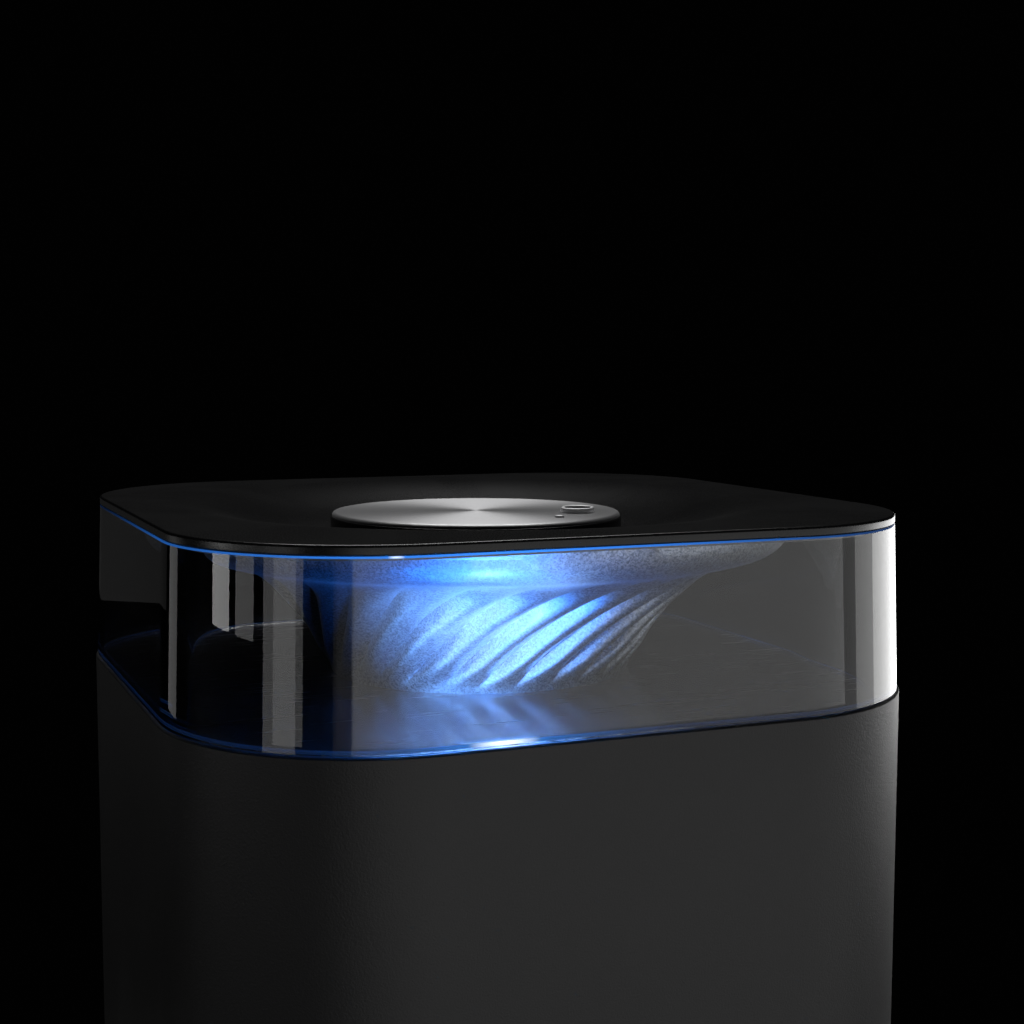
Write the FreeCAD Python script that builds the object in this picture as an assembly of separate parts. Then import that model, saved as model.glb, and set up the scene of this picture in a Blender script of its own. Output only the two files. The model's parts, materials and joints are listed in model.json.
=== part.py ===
import FreeCAD, Part
import math
import os

# Cool mist humidifier: a rounded-square tower with a clear light chamber under a dished lid.
# Millimetres. +Z is up, z = 0 is the underside of the feet, x = y = 0 is the tower's axis,
# and -Y is the front. Heights run up from the floor for the base and down from the lid for the top.

V = FreeCAD.Vector
UP = V(0, 0, 1)
LEVEL = 0.02             # how flat an edge has to be to lie in a level plane

# ---- driving dimensions -------------------------------------------------------------------
WIDTH = 200.0            # footprint, square
CORNER_R = 52.8          # vertical corner radius at the full footprint
HEIGHT = 300.0           # feet to the lid's rim
WALL = 3.0               # body shell wall
FOOT_CHAMFER = 1.2       # along the shell's bottom edge

LID_EDGE = 2.4           # lid thickness
LID_CHAMFER = 0.5
BAND_H = 44.6            # clear band, between the lid and the body
BAND_WALL = 7.0
BAND_STEP = 0.6          # the band's foot is set in from the body
BAND_TAPER = 1.5         # and its top is set in further
TONGUE_W = 2.3           # the band's foot has a tongue that is bonded behind the shell's wall

DISH_R = 84.0            # the lid is dished inside this radius
DISH_SEAT_R = 46.0       # flat seat at the bottom of the dish
DISH_DEPTH = 8.0

DISC_R = 41.0            # brushed disc that turns in the dish
DISC_T = 1.2
DISC_DROP = 2.9          # disc's top face below the lid's rim
SKIRT_EXTRA = 0.4        # the black skirt's radius beyond the disc's
SKIRT_WALL = 1.8
HUB_R = 37.5             # hub that passes down through the lid
HUB_WALL = 2.2
WEB_T = 1.5              # floor of the disc's black hub
LID_COLLAR_W = 2.0
LID_COLLAR_H = 4.3
RETAINER_T = 1.5
RETAINER_OVERLAP = 1.5   # how far the retainer reaches under the lid's collar

SPOUT_ANGLE = -32.0      # spout's direction at rest, from +X
SPOUT_LENGTH = 11.5      # along the disc's edge
SPOUT_WIDTH = 9.3
SPOUT_WALL = 1.2
SPOUT_LIP = 1.5          # stands above the disc
SPOUT_FLANGE = 0.8       # its flange under the hub's web
SPOUT_FLANGE_T = 1.0
SPOUT_GAP = 0.65         # flange to the hub's wall
PIP_R = 1.3              # finger pip beside the spout
PIP_H = 0.6
PIP_OUT = 1.8            # further from the axis than the spout's middle
PIP_TURN = -32.0         # and turned from it by this

DECK_T = 4.0             # glossy floor of the light chamber
DECK_RING_H = 4.0
DECK_RING_W = 5.2
FUNNEL_WALL = 1.6
STEM_R = 42.0
STEM_H = 12.0            # how far the funnel's stem reaches below the deck's top
FLARE_NECK = (6.4, 33.0)      # flare's reach beyond the stem, and its depth below the lid's rim
FLARE_BEND = (15.0, 22.6)
FLARE_SPREAD = (-11.0, 15.0)  # its last stretch is set in from its edge
FLARE_EDGE_DEPTH = 12.0
FOOT_RING_W = 2.5        # shoulder that seats the funnel on the deck
FOOT_RING_T = 1.2
SEAL_W = 1.7             # silicone ring between the dish and the flare's edge
SEAL_H = 3.0
FLANGE_T = 1.7           # funnel's top flange, under the lid
FLANGE_GAP = 0.4         # flange to the band's inner wall
COLLAR_WALL = 3.0

LENS_X = -30.0           # light window in the deck, close to the front wall
LENS_GAP = 2.9           # window's edge to the band's inner wall
LENS_LENGTH = 22.0
LENS_WIDTH = 5.0
LENS_FLANGE = 1.0
LED_BOARD_T = 1.0
LED_BOARD_W = 6.0
LED_BOARD_END = 2.0      # board's end beyond its post
LED_X = 3.5
LED_Y = 2.8
LED_H = 1.2
LED_POST_R = 1.5
LED_POST_GAP = 2.5       # post's middle beyond the window's flange

FOOT_H = 6.0
FOOT_R = 9.0
FOOT_ROUND = 1.2
FOOT_TO_BOSS = 12.0      # foot set in from the boss, both ways
BASE_T = 3.0
BAY_H = 69.0             # electronics bay between the base and the reservoir
BOSS_R = 7.0             # screw bosses in the shell's corners
BOSS_INSET = 6.2         # boss's middle in from the wall's inner face
BOSS_H = 20.0
BASE_SCREW_R = 1.6
BASE_SCREW_HEAD_R = 3.2
BASE_SCREW_HEAD_T = 1.7

LEDGE_W = 4.0            # ledge inside the shell that carries the reservoir
LEDGE_T = 3.0
RES_WALL = 2.5
RES_FLOOR_T = 3.0
RES_FLANGE_T = 2.5
GASKET_T = 1.5

RISER_R = 20.0           # tube that carries the mist up to the disc
RISER_WALL = 2.0
RISER_TOP_GAP = 14.0     # below the lid's rim
RISER_SOCKET_H = 8.0     # thicker foot of the tube, on the bell's cone
BELL_R = 34.0
BELL_H = 40.0
BELL_CONE_H = 20.0
ARCH_W = 16.0
ARCH_H = 22.0

CHIMNEY_GAP = 3.1        # air chimney in the reservoir, in from its back wall
CHIMNEY_X_SIZE = 40.0
CHIMNEY_Y_SIZE = 20.0
CHIMNEY_WALL = 2.0
CHIMNEY_TOP_GAP = 20.0   # below the reservoir's rim

FLOAT_X = -55.0
FLOAT_R = 12.0
FLOAT_H = 10.0
FLOAT_TRAVEL = 12.0
FLOAT_POST_R = 3.0
FLOAT_CLIP_R = 5.5
FLOAT_CLIP_T = 2.0

PIEZO_R = 10.0
PIEZO_T = 1.2
PIEZO_SEAL_T = 1.8
PIEZO_WINDOW_R = 8.5
HOLDER_R = 20.0
HOLDER_T = 4.0
CLAMP_T = 3.0
HOLDER_ROOF = 1.0        # reservoir floor left above the holder's screw holes
HOLDER_SCREW_R = 1.2
HOLDER_SCREW_PLACE = 16.0
HOLDER_SCREW_HEAD_R = 2.4
HOLDER_SCREW_HEAD_T = 1.5

FAN_Y = 48.0
FAN_SIZE = 60.0
FAN_T = 15.0
FAN_BORE_R = 28.0
FAN_TIP_GAP = 1.0
FAN_HUB_R = 13.0
FAN_HUB_WALL = 1.5
FAN_TOP_GAP = 1.0
FAN_STRUT_W = 3.0
BLADE_T = 1.0
FAN_BLADES = 7
FAN_PITCH = 35.0
FAN_SHAFT_R = 1.5
STATOR_R = 9.0
STATOR_H = 6.5
MOTOR_PLATE_T = 1.5
FAN_STANDOFF = 5.0
FAN_HOLE_PLACE = 25.0
FAN_SCREW_R = 1.5
FILTER_T = 3.0
FILTER_GAP = 0.5
SLOT_COUNT = 7
SLOT_W = 3.6
SLOT_PITCH = 7.0
SLOT_LENGTH = 46.0
DUCT_WALL = 1.6
DUCT_GAP = 0.25          # duct's foot to the fan's screw heads

BOARD_X = 96.0           # driver board
BOARD_Y = 56.0
BOARD_CENTRE_Y = -36.0
BOARD_T = 1.6
BOARD_STANDOFF = 11.0
BOARD_EDGE = 1.0         # board left round its standoffs
STANDOFF_R = 3.5
BOARD_SCREW_R = 1.3
SINK_X = 32.0
SINK_Y = 26.0
SINK_H = 18.0
SINK_FINS = 6
SINK_FIN_T = 1.6
SINK_BASE_T = 3.0
CAPACITOR_R = 5.0
CAPACITOR_H = 14.0
CAPACITOR_SPREAD = 8.0   # each one's distance from the board's middle line
COIL_R = 9.0
COIL_HOLE_R = 4.0
COIL_H = 7.0

PANEL_Z = 44.0           # control panel, low on the front
PANEL_X = 60.0
PANEL_H = 17.0
PANEL_RECESS = 0.3
PANEL_BACK = 3.2         # panel's lip behind the wall
PANEL_LIP_T = 1.5
BUTTON_X = 14.0
BUTTON_R = 5.2
BUTTON_FLANGE = 1.4
BUTTON_FLANGE_T = 1.0
BUTTON_TRAVEL = 0.8
POST_X = 25.0
POST_R = 3.0
SWITCH_SIZE = 6.0
SWITCH_T = 3.5
SWITCH_STEM_R = 1.6
SWITCH_STEM_T = 0.7
PANEL_BOARD_T = 1.6
PANEL_SCREW_R = 1.0

JACK_Z = 26.0            # power inlet, low on the back
JACK_R = 5.0
JACK_LENGTH = 14.0
JACK_FLANGE_R = 7.5
JACK_FLANGE_T = 0.9
JACK_BORE_R = 2.9
JACK_BORE_DEPTH = 10.0
JACK_PIN_R = 1.05
NUT_FLATS = 13.0
NUT_T = 2.5

# ---- named clearances ---------------------------------------------------------------------
SNUG = 0.05              # fixed pieces that plug together
RUNNING = 0.05           # shaft in its bearing
LOOSE = 0.3              # pieces that move past each other
DROP_IN = 0.2            # plates that drop into the shell
SWITCH_GAP = 0.1         # button to switch at full travel
TIP_GAP = 0.5            # screw's tip to the bottom of its hole
OVERRUN = 1.0            # cutting and joining solids run past their faces by this

# ---- places that follow from them ---------------------------------------------------------
HALF = WIDTH / 2
SHELL_IN = HALF - WALL
BAND_FOOT_HALF = HALF - BAND_STEP
BAND_TOP_HALF = BAND_FOOT_HALF - BAND_TAPER
TONGUE_OUT = SHELL_IN - DROP_IN
DECK_HALF = TONGUE_OUT - TONGUE_W - DROP_IN

Z_BAND_TOP = HEIGHT - LID_EDGE
Z_DECK = Z_BAND_TOP - BAND_H
Z_DECK_UNDER = Z_DECK - DECK_T
Z_RING_UNDER = Z_DECK_UNDER - DECK_RING_H
Z_RES_RIM = Z_RING_UNDER - GASKET_T
Z_LEDGE = Z_RES_RIM - RES_FLANGE_T
Z_DISC_TOP = HEIGHT - DISC_DROP
Z_DISC_UNDER = Z_DISC_TOP - DISC_T
Z_SEAT = HEIGHT - DISH_DEPTH
Z_SKIRT_UNDER = Z_SEAT + LOOSE
Z_LID_COLLAR = Z_SEAT - LID_EDGE - LID_COLLAR_H
Z_HUB_UNDER = Z_LID_COLLAR - LOOSE
SKIRT_R = DISC_R + SKIRT_EXTRA

SPOUT_R = HUB_R - HUB_WALL - SPOUT_GAP - SPOUT_FLANGE - SPOUT_WIDTH / 2
LENS_Y = -(BAND_FOOT_HALF - BAND_WALL - LENS_GAP - LENS_WIDTH / 2)
FLARE_EDGE_R = DISH_R + SEAL_W + LOOSE

Z_BASE = FOOT_H
Z_BASE_TOP = Z_BASE + BASE_T
Z_RES = Z_BASE_TOP + BAY_H
Z_RES_FLOOR = Z_RES + RES_FLOOR_T
RES_HALF = SHELL_IN - LEDGE_W - 2 * DROP_IN
CHIMNEY_Y = RES_HALF - RES_WALL - CHIMNEY_GAP - CHIMNEY_Y_SIZE / 2
BOSS_PLACE = HALF - CORNER_R + (CORNER_R - WALL - BOSS_INSET) * math.sqrt(0.5)
FOOT_PLACE = BOSS_PLACE - FOOT_TO_BOSS
RING_HALF = SHELL_IN - LOOSE
Z_HOLDER = Z_RES - HOLDER_T
Z_CLAMP = Z_HOLDER - CLAMP_T
Z_FAN = Z_BASE_TOP + FAN_STANDOFF
Z_FAN_TOP = Z_FAN + FAN_T
Z_BOARD = Z_BASE_TOP + BOARD_STANDOFF
Z_BOARD_TOP = Z_BOARD + BOARD_T
PANEL_FRONT = -HALF + PANEL_RECESS
PANEL_LIP_BACK = -SHELL_IN + PANEL_LIP_T
BUTTON_BACK = PANEL_LIP_BACK + LOOSE + BUTTON_FLANGE_T
SWITCH_STEM_END = BUTTON_BACK + BUTTON_TRAVEL + SWITCH_GAP
PANEL_BOARD_FRONT = SWITCH_STEM_END + SWITCH_STEM_T + SWITCH_T


# ---- shared shapes ------------------------------------------------------------------------
def corner_radius(half):
    """Corner radius of a rounded square that is concentric with the body's outline."""
    return CORNER_R - (HALF - half)


def rounded_square(half, z):
    r = corner_radius(half)
    flat = half - r
    diagonal = flat + r * math.sqrt(0.5)
    edges = []
    for turn in range(4):
        angle = turn * 90
        points = [V(half, -flat, z), V(half, flat, z), V(diagonal, diagonal, z), V(flat, half, z)]
        side_start, side_end, arc_middle, arc_end = [
            FreeCAD.Rotation(UP, angle).multVec(p) for p in points
        ]
        edges.append(Part.makeLine(side_start, side_end))
        edges.append(Part.Arc(side_end, arc_middle, arc_end).toShape())
    return Part.Wire(edges)


def square_block(half, z0, z1):
    return Part.Face(rounded_square(half, z0)).extrude(V(0, 0, z1 - z0))


def square_ring(outer, inner, z0, z1):
    return square_block(outer, z0, z1).cut(square_block(inner, z0, z1))


def square_loft(half0, z0, half1, z1):
    return Part.makeLoft([rounded_square(half0, z0), rounded_square(half1, z1)], True, True)


def cylinder(r, z0, z1, x=0.0, y=0.0):
    return Part.makeCylinder(r, z1 - z0, V(x, y, z0))


def ring(outer, inner, z0, z1, x=0.0, y=0.0):
    return cylinder(outer, z0, z1, x, y).cut(cylinder(inner, z0, z1, x, y))


def rod_y(r, y0, y1, x, z):
    return Part.makeCylinder(r, y1 - y0, V(x, y0, z), V(0, 1, 0))


def block(x0, x1, y0, y1, z0, z1):
    return Part.makeBox(x1 - x0, y1 - y0, z1 - z0, V(x0, y0, z0))


def centred_block(x, y, x_size, y_size, z0, z1):
    return block(x - x_size / 2, x + x_size / 2, y - y_size / 2, y + y_size / 2, z0, z1)


def pill(x, y, x_size, y_size, z0, z1):
    """Slot-shaped block with its long side along X."""
    r = y_size / 2
    reach = x_size / 2 - r
    body = block(x - reach, x + reach, y - r, y + r, z0, z1)
    body = body.fuse(cylinder(r, z0, z1, x - reach, y))
    body = body.fuse(cylinder(r, z0, z1, x + reach, y))
    return body.removeSplitter()


def revolved(wire):
    """Solid of revolution about the Z axis from a closed wire in the XZ plane."""
    return Part.Face(wire).revolve(V(0, 0, 0), UP, 360)


def joined(pieces):
    body = pieces[0]
    for piece in pieces[1:]:
        body = body.fuse(piece)
    return body.removeSplitter()


def four_corners(place, centre_y=0.0):
    return [(sx * place, centre_y + sy * place) for sx in (-1, 1) for sy in (-1, 1)]


def around(radius, count, start=0.0):
    places = []
    for i in range(count):
        angle = math.radians(start + 360.0 * i / count)
        places.append((radius * math.cos(angle), radius * math.sin(angle)))
    return places


def save(name, shape):
    shape.exportStep("parts/" + name + ".step")
    print(name, len(shape.Solids), "solid(s)", round(shape.Volume / 1000.0, 2), "cm3", shape.isValid())


def edges_at(shape, z):
    """The edges of a shape that lie in the level plane at z."""
    return [e for e in shape.Edges if abs(e.BoundBox.ZMin - z) + abs(e.BoundBox.ZMax - z) < LEVEL]


def group(solids):
    return Part.makeCompound(solids)


# ---- body and base ------------------------------------------------------------------------
def body_shell():
    shell = square_block(HALF, Z_BASE, Z_DECK)
    shell = shell.makeChamfer(FOOT_CHAMFER, edges_at(shell, Z_BASE))
    shell = shell.cut(square_block(SHELL_IN, Z_BASE, Z_DECK))
    ledge = square_ring(SHELL_IN + WALL / 2, SHELL_IN - LEDGE_W, Z_LEDGE - LEDGE_T, Z_LEDGE)
    bosses = [cylinder(BOSS_R, Z_BASE_TOP, Z_BASE_TOP + BOSS_H, x, y) for x, y in four_corners(BOSS_PLACE)]
    body = joined([shell, ledge] + bosses)
    body = body.common(square_block(HALF, Z_BASE, Z_DECK))
    for x, y in four_corners(BOSS_PLACE):
        body = body.cut(cylinder(BASE_SCREW_R + SNUG, Z_BASE_TOP, Z_BASE_TOP + BOSS_H - WALL, x, y))
    body = body.cut(panel_block(0, -HALF - WALL, -SHELL_IN + WALL))
    body = body.cut(rod_y(JACK_R + SNUG, SHELL_IN - WALL, HALF + WALL, 0, JACK_Z))
    body = body.cut(rod_y(JACK_FLANGE_R + LOOSE, HALF - JACK_FLANGE_T - SNUG, HALF + WALL, 0, JACK_Z))
    return body


def rounded_panel(plate):
    """Rounds the four corners of a plate that faces the front."""
    edges = [e for e in plate.Edges if abs(e.Vertexes[0].Y - e.Vertexes[1].Y) > 0.1]
    return plate.makeFillet(PANEL_H / 5, edges)


def base_plate():
    plate = square_block(SHELL_IN - DROP_IN, Z_BASE, Z_BASE_TOP)
    fan_bosses = [
        cylinder(STANDOFF_R, Z_BASE_TOP, Z_FAN, x, y) for x, y in four_corners(FAN_HOLE_PLACE, FAN_Y)
    ]
    board_bosses = [cylinder(STANDOFF_R, Z_BASE_TOP, Z_BOARD, x, y) for x, y in board_corners()]
    plate = joined([plate] + fan_bosses + board_bosses)
    for x, y in four_corners(FAN_HOLE_PLACE, FAN_Y):
        plate = plate.cut(cylinder(FAN_SCREW_R + SNUG, Z_BASE_TOP, Z_FAN, x, y))
    for x, y in board_corners():
        plate = plate.cut(cylinder(BOARD_SCREW_R + SNUG, Z_BASE_TOP + BASE_T, Z_BOARD, x, y))
    for x, y in four_corners(BOSS_PLACE):
        plate = plate.cut(cylinder(BASE_SCREW_R + SNUG, Z_BASE, Z_BASE_TOP, x, y))
        plate = plate.cut(cylinder(BASE_SCREW_HEAD_R + DROP_IN, Z_BASE, Z_BASE + BASE_SCREW_HEAD_T, x, y))
    for i in range(SLOT_COUNT):
        y = FAN_Y + (i - (SLOT_COUNT - 1) / 2) * SLOT_PITCH
        plate = plate.cut(pill(0, y, slot_length(y - FAN_Y), SLOT_W, Z_BASE, Z_BASE_TOP))
    return plate


def slot_length(offset):
    """The intake slots follow the fan's round mouth."""
    return SLOT_LENGTH * math.sqrt(1 - (offset / (SLOT_LENGTH / 2 + SLOT_W)) ** 2)


def board_corners():
    inset = STANDOFF_R + BOARD_EDGE
    x = BOARD_X / 2 - inset
    y = BOARD_Y / 2 - inset
    return [(sx * x, BOARD_CENTRE_Y + sy * y) for sx in (-1, 1) for sy in (-1, 1)]


def rubber_feet():
    feet = []
    for x, y in four_corners(FOOT_PLACE):
        foot = cylinder(FOOT_R, 0, FOOT_H, x, y)
        feet.append(foot.makeFillet(FOOT_ROUND, edges_at(foot, 0)))
    return group(feet)


def base_screws():
    screws = []
    for x, y in four_corners(BOSS_PLACE):
        head = cylinder(BASE_SCREW_HEAD_R, Z_BASE + DROP_IN, Z_BASE + BASE_SCREW_HEAD_T, x, y)
        shaft = cylinder(BASE_SCREW_R, Z_BASE + DROP_IN, Z_BASE_TOP + BOSS_H - 2 * WALL, x, y)
        screws.append(joined([head, shaft]))
    return group(screws)


# ---- light chamber ------------------------------------------------------------------------
def clear_band():
    outside = square_loft(BAND_FOOT_HALF, Z_DECK, BAND_TOP_HALF, Z_BAND_TOP)
    inside = square_loft(BAND_FOOT_HALF - BAND_WALL, Z_DECK, BAND_TOP_HALF - BAND_WALL, Z_BAND_TOP)
    tongue = square_ring(TONGUE_OUT, TONGUE_OUT - TONGUE_W, Z_DECK_UNDER, Z_DECK)
    return joined([outside.cut(inside), tongue])


def inner_deck():
    top = square_block(DECK_HALF, Z_DECK_UNDER, Z_DECK)
    edge = square_ring(RING_HALF, RING_HALF - DECK_RING_W, Z_RING_UNDER, Z_DECK_UNDER)
    collar = cylinder(STEM_R + SNUG + COLLAR_WALL, Z_DECK - STEM_H, Z_DECK_UNDER)
    z_post = led_board_top()
    posts = [cylinder(LED_POST_R, z_post, Z_DECK_UNDER, x, LENS_Y) for x in led_post_places()]
    deck = joined([top, edge, collar] + posts)
    deck = deck.cut(cylinder(STEM_R + SNUG, Z_DECK - STEM_H, Z_DECK))
    fit = 2 * SNUG
    return deck.cut(pill(LENS_X, LENS_Y, LENS_LENGTH + fit, LENS_WIDTH + fit, Z_DECK_UNDER, Z_DECK))


def led_post_places():
    reach = LENS_LENGTH / 2 + LENS_FLANGE + LED_POST_GAP
    return (LENS_X - reach, LENS_X + reach)


def led_board_top():
    return Z_DECK_UNDER - LENS_FLANGE - LED_H


def led_lens():
    window = pill(LENS_X, LENS_Y, LENS_LENGTH, LENS_WIDTH, Z_DECK_UNDER, Z_DECK)
    grown = 2 * LENS_FLANGE
    flange = pill(
        LENS_X, LENS_Y, LENS_LENGTH + grown, LENS_WIDTH + grown, Z_DECK_UNDER - LENS_FLANGE, Z_DECK_UNDER
    )
    return joined([window, flange])


def led_board():
    left, right = led_post_places()
    top = led_board_top()
    board = centred_block(
        LENS_X, LENS_Y, right - left + 2 * LED_BOARD_END, LED_BOARD_W, top - LED_BOARD_T, top
    )
    leds = [
        centred_block(LENS_X + offset, LENS_Y, LED_X, LED_Y, top, top + LED_H)
        for offset in (-LENS_LENGTH / 4, 0, LENS_LENGTH / 4)
    ]
    return joined([board] + leds)


def flare_points():
    """The flare's outside, from the deck up to its edge under the lid."""
    places = [
        (STEM_R + FLARE_NECK[0], FLARE_NECK[1]),
        (STEM_R + FLARE_BEND[0], FLARE_BEND[1]),
        (FLARE_EDGE_R + FLARE_SPREAD[0], FLARE_SPREAD[1]),
        (FLARE_EDGE_R, FLARE_EDGE_DEPTH),
    ]
    return [V(STEM_R, 0, Z_DECK)] + [V(radius, 0, HEIGHT - depth) for radius, depth in places]


def smooth_curve(points):
    curve = Part.BSplineCurve()
    curve.interpolate(points)
    return curve


def inner_flare(outside, steps=12):
    """Points one wall's thickness inside the flare's outside curve."""
    span = outside.LastParameter - outside.FirstParameter
    points = []
    for i in range(steps + 1):
        u = outside.FirstParameter + span * i / steps
        along = outside.tangent(u)[0]
        points.append(outside.value(u) + V(-along.z, 0, along.x) * FUNNEL_WALL)
    return points


def funnel():
    """Trumpet with a stem in the deck's collar and a square flange under the lid."""
    outside = smooth_curve(flare_points())
    inner = inner_flare(outside)
    z_flange = Z_BAND_TOP - FLANGE_T
    z_stem = Z_DECK - STEM_H
    edge = flare_points()[-1]
    corners = [
        edge,
        V(edge.x + FUNNEL_WALL, 0, edge.z + FUNNEL_WALL),
        V(edge.x + FUNNEL_WALL, 0, Z_BAND_TOP),
        V(edge.x, 0, Z_BAND_TOP),
        V(edge.x, 0, inner[-1].z + FUNNEL_WALL),
        inner[-1],
    ]
    foot = [
        inner[0],
        V(STEM_R - FUNNEL_WALL, 0, inner[0].z),
        V(STEM_R - FUNNEL_WALL, 0, z_stem),
        V(STEM_R, 0, z_stem),
        V(STEM_R, 0, Z_DECK),
    ]
    path = [outside.toShape(), smooth_curve(inner).toShape()]
    for run in (corners, foot):
        for start, end in zip(run, run[1:]):
            path.append(Part.makeLine(start, end))
    trumpet = revolved(Part.Wire(Part.__sortEdges__(path)))
    flange = square_block(BAND_TOP_HALF - BAND_WALL - FLANGE_GAP, z_flange, Z_BAND_TOP)
    flange = flange.cut(cylinder(edge.x, z_flange, Z_BAND_TOP))
    foot_ring = ring(STEM_R + FOOT_RING_W, STEM_R - FUNNEL_WALL / 2, Z_DECK, Z_DECK + FOOT_RING_T)
    return joined([trumpet, flange, foot_ring])


# ---- lid and disc -------------------------------------------------------------------------
def dish_wire(drop, cap_z):
    """Outline of the dish: a flat seat, two tangent arcs up to the rim, closed at cap_z."""
    z_rim = HEIGHT - drop
    z_seat = Z_SEAT - drop
    run = (DISH_R - DISH_SEAT_R) / 2
    rise = DISH_DEPTH / 2
    radius = (run * run + rise * rise) / (2 * rise)
    half_angle = math.asin(run / radius) / 2
    bend_x = radius * math.sin(half_angle)
    bend_z = radius * (1 - math.cos(half_angle))
    seat = V(DISH_SEAT_R, 0, z_seat)
    middle = V(DISH_SEAT_R + run, 0, z_seat + rise)
    rim = V(DISH_R, 0, z_rim)
    low_arc = Part.Arc(seat, V(DISH_SEAT_R + bend_x, 0, z_seat + bend_z), middle).toShape()
    high_arc = Part.Arc(middle, V(DISH_R - bend_x, 0, z_rim - bend_z), rim).toShape()
    edges = [
        Part.makeLine(V(0, 0, z_seat), seat),
        low_arc,
        high_arc,
        Part.makeLine(rim, V(DISH_R, 0, cap_z)),
        Part.makeLine(V(DISH_R, 0, cap_z), V(0, 0, cap_z)),
        Part.makeLine(V(0, 0, cap_z), V(0, 0, z_seat)),
    ]
    return Part.Wire(edges)


def lid_plate():
    plate = square_block(BAND_TOP_HALF, Z_BAND_TOP, HEIGHT)
    plate = plate.makeChamfer(LID_CHAMFER, edges_at(plate, HEIGHT))
    bowl = revolved(dish_wire(LID_EDGE, HEIGHT - LID_EDGE / 2))
    collar = cylinder(HUB_R + LOOSE + LID_COLLAR_W, Z_LID_COLLAR, Z_SEAT)
    lid = joined([plate, bowl, collar])
    lid = lid.cut(revolved(dish_wire(0, HEIGHT + OVERRUN)))
    return lid.cut(cylinder(HUB_R + LOOSE, Z_LID_COLLAR - OVERRUN, HEIGHT))


def lid_seal():
    """Silicone ring that fills the funnel's mouth under the lid's flat margin."""
    return ring(DISH_R + SEAL_W, DISH_R, Z_BAND_TOP - SEAL_H, Z_BAND_TOP)


def spout_hole(grow, z0, z1):
    x_size = SPOUT_LENGTH + 2 * grow
    y_size = SPOUT_WIDTH + 2 * grow
    hole = pill(0, -SPOUT_R, x_size, y_size, z0, z1)
    hole.rotate(V(0, 0, 0), UP, 90 + SPOUT_ANGLE)
    return hole


def disc_hub():
    web = cylinder(SKIRT_R, Z_DISC_UNDER - WEB_T, Z_DISC_UNDER)
    skirt = ring(SKIRT_R, SKIRT_R - SKIRT_WALL, Z_SKIRT_UNDER, Z_DISC_UNDER)
    hub = ring(HUB_R, HUB_R - HUB_WALL, Z_HUB_UNDER, Z_DISC_UNDER)
    return joined([web, skirt, hub]).cut(spout_hole(SNUG, Z_DISC_UNDER - WEB_T, Z_DISC_UNDER))


def disc_plate():
    plate = cylinder(DISC_R, Z_DISC_UNDER, Z_DISC_TOP)
    plate = plate.makeChamfer(DISC_T / 4, edges_at(plate, Z_DISC_TOP))
    ((x, y),) = around(SPOUT_R + PIP_OUT, 1, SPOUT_ANGLE + PIP_TURN)
    pip = cylinder(PIP_R, Z_DISC_UNDER, Z_DISC_TOP + PIP_H, x, y)
    return joined([plate, pip]).cut(spout_hole(SNUG, Z_DISC_UNDER, Z_DISC_TOP))


def mist_spout():
    z_flange = Z_DISC_UNDER - WEB_T
    z_under = z_flange - SPOUT_FLANGE_T
    tube = spout_hole(0, z_under, Z_DISC_TOP + SPOUT_LIP)
    flange = spout_hole(SPOUT_FLANGE, z_under, z_flange)
    return joined([tube, flange]).cut(spout_hole(-SPOUT_WALL, z_under, Z_DISC_TOP + SPOUT_LIP))


def disc_retainer():
    outer = HUB_R + LOOSE + RETAINER_OVERLAP
    return ring(outer, HUB_R - HUB_WALL, Z_HUB_UNDER - RETAINER_T, Z_HUB_UNDER)


# ---- water --------------------------------------------------------------------------------
def water_reservoir():
    outside = square_block(RES_HALF, Z_RES, Z_RES_RIM)
    flange = square_block(SHELL_IN - DROP_IN, Z_LEDGE, Z_RES_RIM)
    tub = joined([outside, flange]).cut(square_block(RES_HALF - RES_WALL, Z_RES_FLOOR, Z_RES_RIM))
    chimney = centred_block(0, CHIMNEY_Y, CHIMNEY_X_SIZE, CHIMNEY_Y_SIZE, Z_RES, chimney_top())
    post = cylinder(FLOAT_POST_R, Z_RES_FLOOR, float_clip_z(), FLOAT_X, 0)
    tub = joined([tub, chimney, post])
    bore = 2 * CHIMNEY_WALL
    tub = tub.cut(
        centred_block(0, CHIMNEY_Y, CHIMNEY_X_SIZE - bore, CHIMNEY_Y_SIZE - bore, Z_RES, chimney_top())
    )
    tub = tub.cut(cylinder(PIEZO_WINDOW_R, Z_RES, Z_RES_FLOOR))
    for x, y in around(HOLDER_SCREW_PLACE, 3, 90):
        tub = tub.cut(cylinder(HOLDER_SCREW_R + SNUG, Z_RES, Z_RES_FLOOR - HOLDER_ROOF, x, y))
    return tub


def chimney_top():
    return Z_RES_RIM - CHIMNEY_TOP_GAP


def float_clip_z():
    return Z_RES_FLOOR + LOOSE + FLOAT_H + FLOAT_TRAVEL + LOOSE


def float_clip():
    z = float_clip_z()
    return cylinder(FLOAT_CLIP_R, z, z + FLOAT_CLIP_T, FLOAT_X, 0)


def float_ring():
    z = Z_RES_FLOOR + LOOSE
    return ring(FLOAT_R, FLOAT_POST_R + LOOSE, z, z + FLOAT_H, FLOAT_X, 0)


def reservoir_gasket():
    return square_ring(RING_HALF, RING_HALF - DECK_RING_W, Z_RES_RIM, Z_RING_UNDER)


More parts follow.
